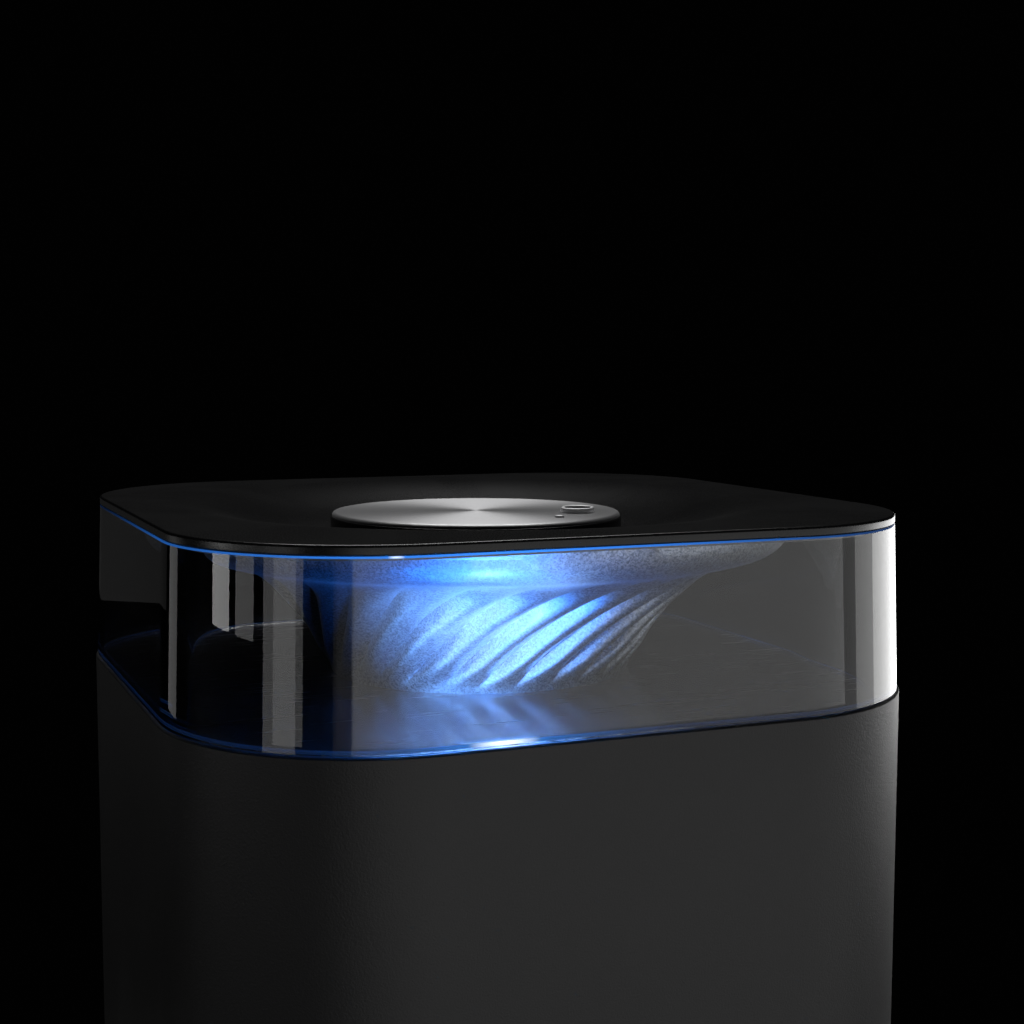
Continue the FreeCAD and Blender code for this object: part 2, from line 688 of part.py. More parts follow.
def mist_bell():
    """Bell over the piezo disc, with a cone that carries the riser tube."""
    z_bell = Z_RES_FLOOR + BELL_H
    z_cone = z_bell + BELL_CONE_H
    outside = cylinder(BELL_R, Z_RES_FLOOR, z_bell).fuse(
        Part.makeCone(BELL_R, RISER_R, BELL_CONE_H, V(0, 0, z_bell))
    )
    inside = cylinder(BELL_R - RISER_WALL, Z_RES_FLOOR, z_bell).fuse(
        Part.makeCone(BELL_R - RISER_WALL, RISER_R - RISER_WALL, BELL_CONE_H, V(0, 0, z_bell))
    )
    bell = outside.cut(inside).cut(cylinder(RISER_R - RISER_WALL, z_bell, z_cone))
    for i in range(3):
        arch = block(0, BELL_R + OVERRUN, -ARCH_W / 2, ARCH_W / 2, Z_RES_FLOOR, Z_RES_FLOOR + ARCH_H)
        arch.rotate(V(0, 0, 0), UP, 30 + 120 * i)
        bell = bell.cut(arch)
    return bell


def riser_tube():
    """Stands on the bell's cone and reaches up into the turning disc's hub."""
    z_cone = Z_RES_FLOOR + BELL_H + BELL_CONE_H
    tube = ring(RISER_R, RISER_R - RISER_WALL, z_cone, HEIGHT - RISER_TOP_GAP)
    socket = ring(RISER_R + RISER_WALL, RISER_R, z_cone, z_cone + RISER_SOCKET_H)
    return joined([tube, socket])


def transducer_holder():
    holder = ring(HOLDER_R, PIEZO_WINDOW_R, Z_HOLDER, Z_RES)
    holder = holder.cut(cylinder(PIEZO_R + DROP_IN, Z_HOLDER, Z_HOLDER + PIEZO_T + PIEZO_SEAL_T))
    for x, y in around(HOLDER_SCREW_PLACE, 3, 90):
        holder = holder.cut(cylinder(HOLDER_SCREW_R + SNUG, Z_HOLDER, Z_RES, x, y))
    return holder


def transducer_disc():
    return cylinder(PIEZO_R, Z_HOLDER, Z_HOLDER + PIEZO_T)


def transducer_seal():
    z = Z_HOLDER + PIEZO_T
    return ring(PIEZO_R, PIEZO_WINDOW_R, z, z + PIEZO_SEAL_T)


def transducer_clamp():
    clamp = ring(HOLDER_R, PIEZO_WINDOW_R, Z_CLAMP, Z_HOLDER)
    for x, y in around(HOLDER_SCREW_PLACE, 3, 90):
        clamp = clamp.cut(cylinder(HOLDER_SCREW_R + SNUG, Z_CLAMP, Z_HOLDER, x, y))
    return clamp


def holder_screws():
    screws = []
    for x, y in around(HOLDER_SCREW_PLACE, 3, 90):
        head = cylinder(HOLDER_SCREW_HEAD_R, Z_CLAMP - HOLDER_SCREW_HEAD_T, Z_CLAMP, x, y)
        tip = Z_RES_FLOOR - HOLDER_ROOF - TIP_GAP
        shaft = cylinder(HOLDER_SCREW_R, Z_CLAMP - HOLDER_SCREW_HEAD_T, tip, x, y)
        screws.append(joined([head, shaft]))
    return group(screws)


# ---- air ----------------------------------------------------------------------------------
def fan_frame():
    frame = centred_block(0, FAN_Y, FAN_SIZE, FAN_SIZE, Z_FAN, Z_FAN_TOP)
    frame = frame.cut(cylinder(FAN_BORE_R, Z_FAN, Z_FAN_TOP, 0, FAN_Y))
    plate = cylinder(FAN_HUB_R, Z_FAN, Z_FAN + MOTOR_PLATE_T, 0, FAN_Y)
    struts = []
    for i in range(3):
        strut = block(
            0, FAN_BORE_R + OVERRUN, -FAN_STRUT_W / 2, FAN_STRUT_W / 2, Z_FAN, Z_FAN + MOTOR_PLATE_T
        )
        strut.rotate(V(0, 0, 0), UP, 30 + 120 * i)
        strut.translate(V(0, FAN_Y, 0))
        struts.append(strut)
    frame = joined([frame, plate] + struts)
    for x, y in four_corners(FAN_HOLE_PLACE, FAN_Y):
        frame = frame.cut(cylinder(FAN_SCREW_R + SNUG, Z_FAN, Z_FAN_TOP, x, y))
    return frame


def fan_stator():
    z = Z_FAN + MOTOR_PLATE_T
    return ring(STATOR_R, FAN_SHAFT_R + RUNNING, z, z + STATOR_H, 0, FAN_Y)


def fan_impeller():
    z0 = Z_FAN + MOTOR_PLATE_T + LOOSE
    z1 = Z_FAN_TOP - FAN_TOP_GAP
    cup = cylinder(FAN_HUB_R, z0, z1).cut(cylinder(FAN_HUB_R - FAN_HUB_WALL, z0, z1 - FAN_HUB_WALL))
    shaft = cylinder(FAN_SHAFT_R, z0 + TIP_GAP, z1)
    chord = (z1 - z0) / math.sin(math.radians(90 - FAN_PITCH))
    blades = []
    for i in range(FAN_BLADES):
        blade = Part.makeBox(FAN_BORE_R, BLADE_T, chord, V(FAN_HUB_R - OVERRUN, -BLADE_T / 2, -chord / 2))
        blade.rotate(V(0, 0, 0), V(1, 0, 0), FAN_PITCH)
        blade.rotate(V(0, 0, 0), UP, 360.0 * i / FAN_BLADES)
        blade.translate(V(0, 0, (z0 + z1) / 2))
        blades.append(blade)
    sweep = ring(FAN_BORE_R - FAN_TIP_GAP, FAN_HUB_R - FAN_HUB_WALL / 2, z0, z1)
    blades = [blade.common(sweep) for blade in blades]
    impeller = joined([cup, shaft] + blades)
    impeller.translate(V(0, FAN_Y, 0))
    return impeller


def fan_screws():
    screws = []
    for x, y in four_corners(FAN_HOLE_PLACE, FAN_Y):
        head = cylinder(2 * FAN_SCREW_R, Z_FAN_TOP, Z_FAN_TOP + FAN_SCREW_R, x, y)
        shaft = cylinder(FAN_SCREW_R, Z_BASE_TOP + TIP_GAP, Z_FAN_TOP, x, y)
        screws.append(joined([head, shaft]))
    return group(screws)


def intake_filter():
    side = 2 * (FAN_HOLE_PLACE - STANDOFF_R - FILTER_GAP)
    return centred_block(0, FAN_Y, side, side, Z_BASE_TOP, Z_BASE_TOP + FILTER_T)


def rectangle(x_size, y_size, y, z):
    x = x_size / 2
    low = y - y_size / 2
    high = y + y_size / 2
    return Part.makePolygon([V(-x, low, z), V(x, low, z), V(x, high, z), V(-x, high, z), V(-x, low, z)])


def air_duct():
    """Slanted duct from the fan up to the chimney's foot."""
    mouth = 2 * (FAN_HOLE_PLACE - 2 * FAN_SCREW_R - DUCT_GAP)
    foot_x = CHIMNEY_X_SIZE - 2 * CHIMNEY_WALL
    foot_y = CHIMNEY_Y_SIZE - 2 * CHIMNEY_WALL
    skin = 2 * DUCT_WALL
    outside = Part.makeLoft(
        [
            rectangle(mouth, mouth, FAN_Y, Z_FAN_TOP),
            rectangle(foot_x + skin, foot_y + skin, CHIMNEY_Y, Z_RES),
        ],
        True,
        True,
    )
    inside = Part.makeLoft(
        [
            rectangle(mouth - skin, mouth - skin, FAN_Y, Z_FAN_TOP),
            rectangle(foot_x, foot_y, CHIMNEY_Y, Z_RES),
        ],
        True,
        True,
    )
    return outside.cut(inside)


# ---- electronics --------------------------------------------------------------------------
def driver_board():
    board = centred_block(0, BOARD_CENTRE_Y, BOARD_X, BOARD_Y, Z_BOARD, Z_BOARD_TOP)
    for x, y in board_corners():
        board = board.cut(cylinder(BOARD_SCREW_R + SNUG, Z_BOARD, Z_BOARD_TOP, x, y))
    return board


def board_screws():
    screws = []
    for x, y in board_corners():
        head = cylinder(2 * BOARD_SCREW_R, Z_BOARD_TOP, Z_BOARD_TOP + BOARD_SCREW_R, x, y)
        shaft = cylinder(BOARD_SCREW_R, Z_BASE_TOP + BASE_T + TIP_GAP, Z_BOARD_TOP, x, y)
        screws.append(joined([head, shaft]))
    return group(screws)


def heat_sink():
    x = BOARD_X / 4
    y = BOARD_CENTRE_Y
    sink = centred_block(x, y, SINK_X, SINK_Y, Z_BOARD_TOP, Z_BOARD_TOP + SINK_BASE_T)
    pitch = (SINK_X - SINK_FIN_T) / (SINK_FINS - 1)
    fins = []
    for i in range(SINK_FINS):
        fin_x = x - (SINK_X - SINK_FIN_T) / 2 + i * pitch
        fins.append(centred_block(fin_x, y, SINK_FIN_T, SINK_Y, Z_BOARD_TOP, Z_BOARD_TOP + SINK_H))
    return joined([sink] + fins)


def capacitors():
    places = [(-BOARD_X / 3, BOARD_CENTRE_Y + side * CAPACITOR_SPREAD) for side in (-1, 1)]
    return group([cylinder(CAPACITOR_R, Z_BOARD_TOP, Z_BOARD_TOP + CAPACITOR_H, x, y) for x, y in places])


def power_coil():
    return ring(COIL_R, COIL_HOLE_R, Z_BOARD_TOP, Z_BOARD_TOP + COIL_H, -BOARD_X / 10, BOARD_CENTRE_Y)


def dc_jack():
    front = HALF - JACK_FLANGE_T
    flange = rod_y(JACK_FLANGE_R, front, HALF, 0, JACK_Z)
    barrel = rod_y(JACK_R, HALF - JACK_LENGTH, front, 0, JACK_Z)
    jack = joined([flange, barrel]).cut(rod_y(JACK_BORE_R, HALF - JACK_BORE_DEPTH, HALF, 0, JACK_Z))
    pin = rod_y(JACK_PIN_R, HALF - JACK_BORE_DEPTH, HALF - JACK_FLANGE_T, 0, JACK_Z)
    return joined([jack, pin])


def jack_nut():
    across_corners = NUT_FLATS / math.cos(math.radians(30)) / 2
    corners = [V(x, SHELL_IN, JACK_Z + z) for x, z in around(across_corners, 6)]
    hexagon = Part.Face(Part.makePolygon(corners + corners[:1]))
    nut = hexagon.extrude(V(0, -NUT_T, 0))
    return nut.cut(rod_y(JACK_R + SNUG, SHELL_IN - NUT_T, SHELL_IN, 0, JACK_Z))


# ---- control panel ------------------------------------------------------------------------
def button_places():
    return (-BUTTON_X, BUTTON_X)


def panel_block(grow, y0, y1):
    x = PANEL_X / 2 + grow
    z = PANEL_H / 2 + grow
    return rounded_panel(block(-x, x, y0, y1, PANEL_Z - z, PANEL_Z + z))


def control_panel():
    face = panel_block(-SNUG, PANEL_FRONT, -SHELL_IN)
    lip = panel_block(PANEL_BACK, -SHELL_IN, PANEL_LIP_BACK)
    posts = [rod_y(POST_R, PANEL_LIP_BACK, PANEL_BOARD_FRONT, side * POST_X, PANEL_Z) for side in (-1, 1)]
    panel = joined([face, lip] + posts)
    for x in button_places():
        panel = panel.cut(rod_y(BUTTON_R + LOOSE, PANEL_FRONT, PANEL_LIP_BACK, x, PANEL_Z))
    for side in (-1, 1):
        hole = rod_y(PANEL_SCREW_R + SNUG, PANEL_LIP_BACK, PANEL_BOARD_FRONT, side * POST_X, PANEL_Z)
        panel = panel.cut(hole)
    return panel


def push_button(x):
    cap = rod_y(BUTTON_R, -HALF, BUTTON_BACK, x, PANEL_Z)
    flange = rod_y(BUTTON_R + BUTTON_FLANGE, BUTTON_BACK - BUTTON_FLANGE_T, BUTTON_BACK, x, PANEL_Z)
    return joined([cap, flange])


def control_board():
    back = PANEL_BOARD_FRONT + PANEL_BOARD_T
    x_size = 2 * (POST_X + POST_R)
    z = PANEL_H / 2
    board = block(-x_size / 2, x_size / 2, PANEL_BOARD_FRONT, back, PANEL_Z - z, PANEL_Z + z)
    pieces = [board]
    reach = SWITCH_SIZE / 2
    switch_front = PANEL_BOARD_FRONT - SWITCH_T
    for x in button_places():
        pieces.append(
            block(x - reach, x + reach, switch_front, PANEL_BOARD_FRONT, PANEL_Z - reach, PANEL_Z + reach)
        )
        pieces.append(rod_y(SWITCH_STEM_R, SWITCH_STEM_END, switch_front, x, PANEL_Z))
    board = joined(pieces)
    for side in (-1, 1):
        board = board.cut(rod_y(PANEL_SCREW_R + SNUG, PANEL_BOARD_FRONT, back, side * POST_X, PANEL_Z))
    return board


def panel_screws():
    back = PANEL_BOARD_FRONT + PANEL_BOARD_T
    screws = []
    for side in (-1, 1):
        head = rod_y(2 * PANEL_SCREW_R, back, back + PANEL_SCREW_R, side * POST_X, PANEL_Z)
        shaft = rod_y(PANEL_SCREW_R, PANEL_LIP_BACK + TIP_GAP, back, side * POST_X, PANEL_Z)
        screws.append(joined([head, shaft]))
    return group(screws)


# ---- the whole assembly -------------------------------------------------------------------
os.makedirs("parts", exist_ok=True)

save("body_shell", body_shell())
save("base_plate", base_plate())
save("rubber_feet", rubber_feet())
save("base_screws", base_screws())

save("clear_band", clear_band())
save("inner_deck", inner_deck())
save("led_lens", led_lens())
save("led_board", led_board())
save("fluted_funnel", funnel())

save("lid_plate", lid_plate())
save("lid_seal", lid_seal())
save("disc_hub", disc_hub())
save("disc_plate", disc_plate())
save("mist_spout", mist_spout())
save("disc_retainer", disc_retainer())

save("water_reservoir", water_reservoir())
save("reservoir_gasket", reservoir_gasket())
save("float_ring", float_ring())
save("float_clip", float_clip())
save("mist_bell", mist_bell())
save("riser_tube", riser_tube())
save("transducer_holder", transducer_holder())
save("transducer_disc", transducer_disc())
save("transducer_seal", transducer_seal())
save("transducer_clamp", transducer_clamp())
save("holder_screws", holder_screws())

save("fan_frame", fan_frame())
save("fan_stator", fan_stator())
save("fan_impeller", fan_impeller())
save("fan_screws", fan_screws())
save("intake_filter", intake_filter())
save("air_duct", air_duct())

save("driver_board", driver_board())
save("board_screws", board_screws())
save("heat_sink", heat_sink())
save("capacitors", capacitors())
save("power_coil", power_coil())
save("dc_jack", dc_jack())
save("jack_nut", jack_nut())

save("control_panel", control_panel())
save("mist_button", push_button(-BUTTON_X))
save("light_button", push_button(BUTTON_X))
save("control_board", control_board())
save("panel_screws", panel_screws())
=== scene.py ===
# %% [markdown]
# # A cool mist humidifier
# A rounded-square tower stands on four rubber feet. Near its top is a clear acrylic band, lit
# from inside by a small blue lamp in a glossy black deck. The lamp shines up on a silver
# funnel with twisted flutes, and over it all lies a thin dished lid with a brushed disc.
# The mechanical design is already made, so the first step loads it as a frame that nothing
# here may move. Pieces that a viewer sees closely are then modelled again around it with
# soft edges and smooth curves, and the rest of the pieces get a finish of their own.

# %% Load the mechanical design
import json
import math

import bmesh
import bpy
from mathutils import Matrix, Vector
from mathutils.geometry import interpolate_bezier


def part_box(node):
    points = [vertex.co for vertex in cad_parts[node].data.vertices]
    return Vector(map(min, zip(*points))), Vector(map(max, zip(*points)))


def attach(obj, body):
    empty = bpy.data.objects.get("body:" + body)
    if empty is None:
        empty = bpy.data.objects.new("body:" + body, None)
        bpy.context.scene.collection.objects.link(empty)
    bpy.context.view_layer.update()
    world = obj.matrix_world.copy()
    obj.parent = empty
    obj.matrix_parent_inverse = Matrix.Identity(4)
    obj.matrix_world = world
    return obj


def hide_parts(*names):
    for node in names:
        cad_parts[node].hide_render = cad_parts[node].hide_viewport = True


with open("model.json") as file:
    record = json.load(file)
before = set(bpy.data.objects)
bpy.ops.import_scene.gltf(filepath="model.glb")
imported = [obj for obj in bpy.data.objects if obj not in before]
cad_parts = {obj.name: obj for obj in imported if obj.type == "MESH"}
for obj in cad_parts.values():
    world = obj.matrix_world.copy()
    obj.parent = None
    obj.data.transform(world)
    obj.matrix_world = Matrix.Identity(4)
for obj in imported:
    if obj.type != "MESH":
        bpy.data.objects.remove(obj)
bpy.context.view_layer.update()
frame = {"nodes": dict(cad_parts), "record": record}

MM = 0.001

# %% [markdown]
# ## Sizes
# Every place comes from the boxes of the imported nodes, so a change in the design moves the
# visible pieces with it. A few sizes inside a piece, such as a wall or a fillet, are named
# here in millimetres.

# %% Levels and half widths read from the frame
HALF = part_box("body_shell")[1].x
Z_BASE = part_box("body_shell")[0].z
Z_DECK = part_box("inner_deck")[1].z
FOOT_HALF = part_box("clear_band")[1].x
TOP_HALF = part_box("lid_plate")[1].x
Z_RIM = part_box("lid_plate")[1].z
Z_LID_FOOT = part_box("lid_plate")[0].z
Z_BAND_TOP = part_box("clear_band")[1].z
DISC_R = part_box("disc_plate")[1].x
SKIRT_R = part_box("disc_hub")[1].x
DISC_T = 1.2 * MM
Z_DISC = Z_RIM - 2.9 * MM
CORNER_R = 52.8 * MM
SHELL_WALL = 3 * MM
BAND_WALL = 7 * MM
LID_EDGE = 2.4 * MM
DISH_R = 84 * MM
DISH_SEAT_R = 46 * MM
DISH_DEPTH = 8 * MM
HAIR = 0.15 * MM
STEPS = 256
print("half", HALF, "deck", round(Z_DECK, 4), "rim", round(Z_RIM, 4), "disc", round(DISC_R, 4))

# %% [markdown]
# ## Turning and squaring
# Most pieces here are rings: an outline that goes once round the tower. A lathe makes such
# a ring in one operation, and the tower's rounded square is then a lathe shape whose
# points slide outwards along their own ray until they meet the square's outline. All the
# squares share their corner centres, so walls keep their thickness round the corners. A loft
# between drawn outlines would do it too, but would need every outline drawn by hand.

# %% A lathe for closed and open outlines
TINY = 1e-6


def lathe(outline, soft=(), steps=STEPS):
    """Spins (radius, height) points round the Z axis. soft holds (fillet, [corners]) pairs."""
    bm = bmesh.new()
    corners = [bm.verts.new((radius, 0, height)) for radius, height in outline]
    face = bm.faces.new(corners)
    for fillet, picks in soft:
        bmesh.ops.bevel(
            bm, geom=[corners[i] for i in picks], offset=fillet, segments=4,
            profile=0.5, affect="VERTICES", material=-1,
        )
    bmesh.ops.delete(bm, geom=bm.faces[:], context="FACES_ONLY")
    on_axis = [e for e in bm.edges if all(abs(v.co.x) < TINY for v in e.verts)]
    bmesh.ops.delete(bm, geom=on_axis, context="EDGES")
    bmesh.ops.spin(
        bm, geom=bm.verts[:] + bm.edges[:], cent=(0, 0, 0), axis=(0, 0, 1),
        angle=math.tau, steps=steps, use_merge=True,
    )
    bmesh.ops.remove_doubles(bm, verts=bm.verts, dist=TINY)
    bmesh.ops.recalc_face_normals(bm, faces=bm.faces)
    return bm


# %% Slide a lathe shape out to the rounded square
def square_reach(half, angle):
    """Distance from the axis to the rounded square of this half width, in this direction."""
    corner = CORNER_R - (HALF - half)
    flat = half - corner
    c, s = abs(math.cos(angle)), abs(math.sin(angle))
    longer, shorter = max(c, s), min(c, s)
    if half * shorter <= flat * longer:
        return half / longer
    return flat * (c + s) + math.sqrt(corner ** 2 - (flat * (c - s)) ** 2)


def squared(bm, from_radius=0.0):
    for v in bm.verts:
        radius = math.hypot(v.co.x, v.co.y)
        if radius > from_radius + TINY:
            grow = square_reach(radius, math.atan2(v.co.y, v.co.x)) / radius
            v.co.x *= grow
            v.co.y *= grow
    return bm


def stretched(bm, reach):
    """Pulls a lathe shape apart along X, which makes a slot-shaped one."""
    for v in bm.verts:
        v.co.x += math.copysign(reach, v.co.x)
    return bm


# %% Turn a bmesh into a finished piece
def new_object(name, bm, smooth_angle=40):
    mesh = bpy.data.meshes.new(name)
    bm.to_mesh(mesh)
    bm.free()
    mesh.shade_smooth()
    mesh.set_sharp_from_angle(angle=math.radians(smooth_angle))
    made = bpy.data.objects.new(name, mesh)
    bpy.context.scene.collection.objects.link(made)
    return made


def piece(name, bm, body, materials, stands_for=(), smooth_angle=40, even=True):
    made = new_object(name, bm, smooth_angle)
    for material in materials:
        made.data.materials.append(material)
    if even:
        made.modifiers.new("even_shading", "WEIGHTED_NORMAL").keep_sharp = True
    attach(made, body)
    if stands_for:
        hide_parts(*stands_for)
    print(name, "has", len(made.data.polygons), "faces and rides on", body)
    return made


def cut_with(bm, cutter):
    """A copy of bm with the closed shape cutter taken out of it."""
    whole, tool = new_object("whole", bm), new_object("tool", cutter)
    change = whole.modifiers.new("cut", "BOOLEAN")
    change.object, change.operation, change.solver = tool, "DIFFERENCE", "EXACT"
    seen = whole.evaluated_get(bpy.context.evaluated_depsgraph_get())
    result = bmesh.new()
    result.from_mesh(seen.to_mesh())
    seen.to_mesh_clear()
    for used in (whole, tool):
        bpy.data.meshes.remove(used.data)
    return result


# %% [markdown]
# ## Finishes
# A moulded or machined surface is never one flat colour. It has a fine grain from its mould
# or its tool, broad patches where it was handled, and thin marks from wiping. One node
# group gives those three as plain values, and each material mixes them in its own strength.
# A group keeps the recipe in one place, so a better grain improves every piece at once.

# %% Small helpers for node trees
def socket_pair(group, name, direction, kind="NodeSocketFloat", value=None):
    made = group.interface.new_socket(name=name, in_out=direction, socket_type=kind)
    if value is not None:
        made.default_value = value


def math_node(nodes, links, operation, first, second=None, third=None):
    made = nodes.new("ShaderNodeMath")
    made.operation = operation
    for place, value in enumerate((first, second, third)):
        if isinstance(value, bpy.types.NodeSocket):
            links.new(value, made.inputs[place])
        elif value is not None:
            made.inputs[place].default_value = value
    return made.outputs[0]


# %% The surface group: grain, patches and wiping marks
def make_surface_group():
    group = bpy.data.node_groups.new("surface_marks", "ShaderNodeTree")
    socket_pair(group, "Vector", "INPUT", "NodeSocketVector")
    socket_pair(group, "Grain Scale", "INPUT", value=1500.0)
    socket_pair(group, "Patch Scale", "INPUT", value=25.0)
    for name in ("Grain", "Patches", "Wipes"):
        socket_pair(group, name, "OUTPUT")
    nodes, links = group.nodes, group.links
    given, gives = nodes.new("NodeGroupInput"), nodes.new("NodeGroupOutput")
    grain = nodes.new("ShaderNodeTexNoise")
    grain.inputs["Detail"].default_value = 3
    grain.inputs["Roughness"].default_value = 0.6
    links.new(given.outputs["Vector"], grain.inputs["Vector"])
    links.new(given.outputs["Grain Scale"], grain.inputs["Scale"])
    patches = nodes.new("ShaderNodeTexNoise")
    patches.inputs["Detail"].default_value = 4
    patches.inputs["Distortion"].default_value = 0.6
    links.new(given.outputs["Vector"], patches.inputs["Vector"])
    links.new(given.outputs["Patch Scale"], patches.inputs["Scale"])
    slant = nodes.new("ShaderNodeMapping")
    slant.inputs["Rotation"].default_value = (0.0, 0.0, math.radians(12))
    slant.inputs["Scale"].default_value = (0.04, 1.0, 1.0)
    links.new(given.outputs["Vector"], slant.inputs["Vector"])
    wipes = nodes.new("ShaderNodeTexNoise")
    wipes.inputs["Scale"].default_value = 1100
    wipes.inputs["Detail"].default_value = 2
    links.new(slant.outputs["Vector"], wipes.inputs["Vector"])
    thin = nodes.new("ShaderNodeMapRange")
    thin.inputs["From Min"].default_value = 0.6
    thin.inputs["From Max"].default_value = 0.78
    links.new(wipes.outputs["Fac"], thin.inputs["Value"])
    faded = math_node(nodes, links, "MULTIPLY", thin.outputs["Result"], patches.outputs["Fac"])
    links.new(grain.outputs["Fac"], gives.inputs["Grain"])
    links.new(patches.outputs["Fac"], gives.inputs["Patches"])
    links.new(faded, gives.inputs["Wipes"])
    return group


SURFACE = make_surface_group()


# %% A material that mixes the marks into colour, gloss and relief
def start_material(name):
    material = bpy.data.materials.new(name)
    material.use_nodes = True
    nodes, links = material.node_tree.nodes, material.node_tree.links
    shader = nodes["Principled BSDF"]
    place = nodes.new("ShaderNodeTexCoord").outputs["Object"]
    return material, nodes, links, shader, place


def blend_colours(nodes, links, factor, dark, light):
    mix = nodes.new("ShaderNodeMix")
    mix.data_type = "RGBA"
    links.new(factor, mix.inputs["Factor"])
    for socket, value in (("A", dark), ("B", light)):
        target = [s for s in mix.inputs if s.name == socket and s.type == "RGBA"][0]
        if isinstance(value, bpy.types.NodeSocket):
            links.new(value, target)
        else:
            target.default_value = (*value, 1.0)
    return [s for s in mix.outputs if s.type == "RGBA"][0]


def shade(colour, amount):
    return tuple(min(1.0, c * amount) for c in colour)


def surface(name, colour, roughness, metallic=0.0, grain_scale=1500.0, relief=0.02,
            variation=0.15, gloss_change=0.08, wipes=0.0, patch_scale=25.0):
    """A finish with grain, patches and wiping marks. relief is its depth in millimetres."""
    material, nodes, links, shader, place = start_material(name)
    marks = nodes.new("ShaderNodeGroup")
    marks.node_tree = SURFACE
    marks.inputs["Grain Scale"].default_value = grain_scale
    marks.inputs["Patch Scale"].default_value = patch_scale
    links.new(place, marks.inputs["Vector"])
    mixed = math_node(nodes, links, "MULTIPLY_ADD", marks.outputs["Grain"], 0.5, 0.0)
    mixed = math_node(nodes, links, "MULTIPLY_ADD", marks.outputs["Patches"], 0.5, mixed)
    dark, light = shade(colour, 1 - variation), shade(colour, 1 + variation)
    tone = blend_colours(nodes, links, mixed, dark, light)
    if wipes:
        lift = math_node(nodes, links, "MULTIPLY", marks.outputs["Wipes"], wipes)
        tone = blend_colours(nodes, links, lift, tone, (0.6, 0.62, 0.66))
    links.new(tone, shader.inputs["Base Color"])
    smoothest = roughness - gloss_change
    rough = math_node(nodes, links, "MULTIPLY_ADD", mixed, 2 * gloss_change, smoothest)
    if wipes:
        rough = math_node(nodes, links, "MULTIPLY_ADD", marks.outputs["Wipes"], 0.35, rough)
    links.new(rough, shader.inputs["Roughness"])
    shader.inputs["Metallic"].default_value = metallic
    bump = nodes.new("ShaderNodeBump")
    bump.inputs["Strength"].default_value = 1.0
    bump.inputs["Distance"].default_value = relief * MM
    links.new(marks.outputs["Grain"], bump.inputs["Height"])
    links.new(bump.outputs["Normal"], shader.inputs["Normal"])
    return material


# %% [markdown]
# ## The plastics, rubbers and metals
# The tower is moulded in black with a very fine stipple that spreads any reflection, so it
# looks soft grey where a lamp faces it and black elsewhere. The lid is the same plastic with
# a finer satin. The deck is polished and shows every wipe of a cloth.

# %% Materials that need only the marks
body_black = surface(
    "body_black", (0.012, 0.012, 0.0125), 0.44, grain_scale=2100, relief=0.09, variation=0.3,
)
lid_satin = surface(
    "lid_satin", (0.005, 0.005, 0.0055), 0.28, grain_scale=2600, relief=0.010, variation=0.2,
)
trim_black = surface("trim_black", (0.012, 0.012, 0.013), 0.28, relief=0.006)
# The flange's dull grey is a painted reflection: it stands for the strip that the acrylic's top
# edge shows there.
flange_grey_painted_reflection = surface("flange_grey_painted_reflection", (0.045, 0.042, 0.038), 0.5, grain_scale=900, relief=0.01)
deck_gloss = surface(
    "deck_gloss", (0.006, 0.006, 0.008), 0.20, relief=0.0005, gloss_change=0.04, wipes=0.04,
)
rubber_black = surface("rubber_black", (0.018, 0.018, 0.018), 0.75, grain_scale=900, relief=0.05)
panel_satin = surface("panel_satin", (0.012, 0.012, 0.013), 0.22, relief=0.004)
button_rubber = surface("button_rubber", (0.05, 0.05, 0.052), 0.55, grain_scale=1700, relief=0.03)
tank_plastic = surface(
    "tank_plastic", (0.62, 0.64, 0.66), 0.35, grain_scale=700, relief=0.01, variation=0.05,
)
float_white = surface(
    "float_white", (0.82, 0.82, 0.80), 0.5, grain_scale=500, relief=0.04, variation=0.05,
)
silicone_grey = surface(
    "silicone_grey", (0.30, 0.29, 0.28), 0.6, grain_scale=600, relief=0.02, variation=0.1,
)
steel = surface("steel", (0.60, 0.60, 0.61), 0.32, metallic=1.0, grain_scale=1300, relief=0.008)
holder_metal = surface(
    "holder_metal", (0.62, 0.62, 0.63), 0.36, metallic=1.0, grain_scale=900, relief=0.012,
)
sink_aluminium = surface(
    "sink_aluminium", (0.50, 0.51, 0.53), 0.45, metallic=1.0, grain_scale=600, relief=0.02,
)
spout_metal = surface(
    "spout_metal", (0.86, 0.86, 0.87), 0.6, metallic=1.0, grain_scale=2200, relief=0.004,
)
piezo_ceramic = surface(
    "piezo_ceramic", (0.74, 0.68, 0.50), 0.4, metallic=0.6, grain_scale=1800, relief=0.01,
)
capacitor_sleeve = surface(
    "capacitor_sleeve", (0.02, 0.03, 0.10), 0.25, grain_scale=800, relief=0.01,
)
print("materials", len(bpy.data.materials))

# %% [markdown]
# ## Brushed aluminium
# The disc's brush lines are circles, because it was turned while the brush touched it. Fine
# rings of noise, read from the distance to the axis, tilt the surface in and out, and the
# shader's own anisotropy stretches each highlight across the rings, which is what gives the
# two bright fans of a brushed disc. Real lines would be hundreds of thousands of faces.

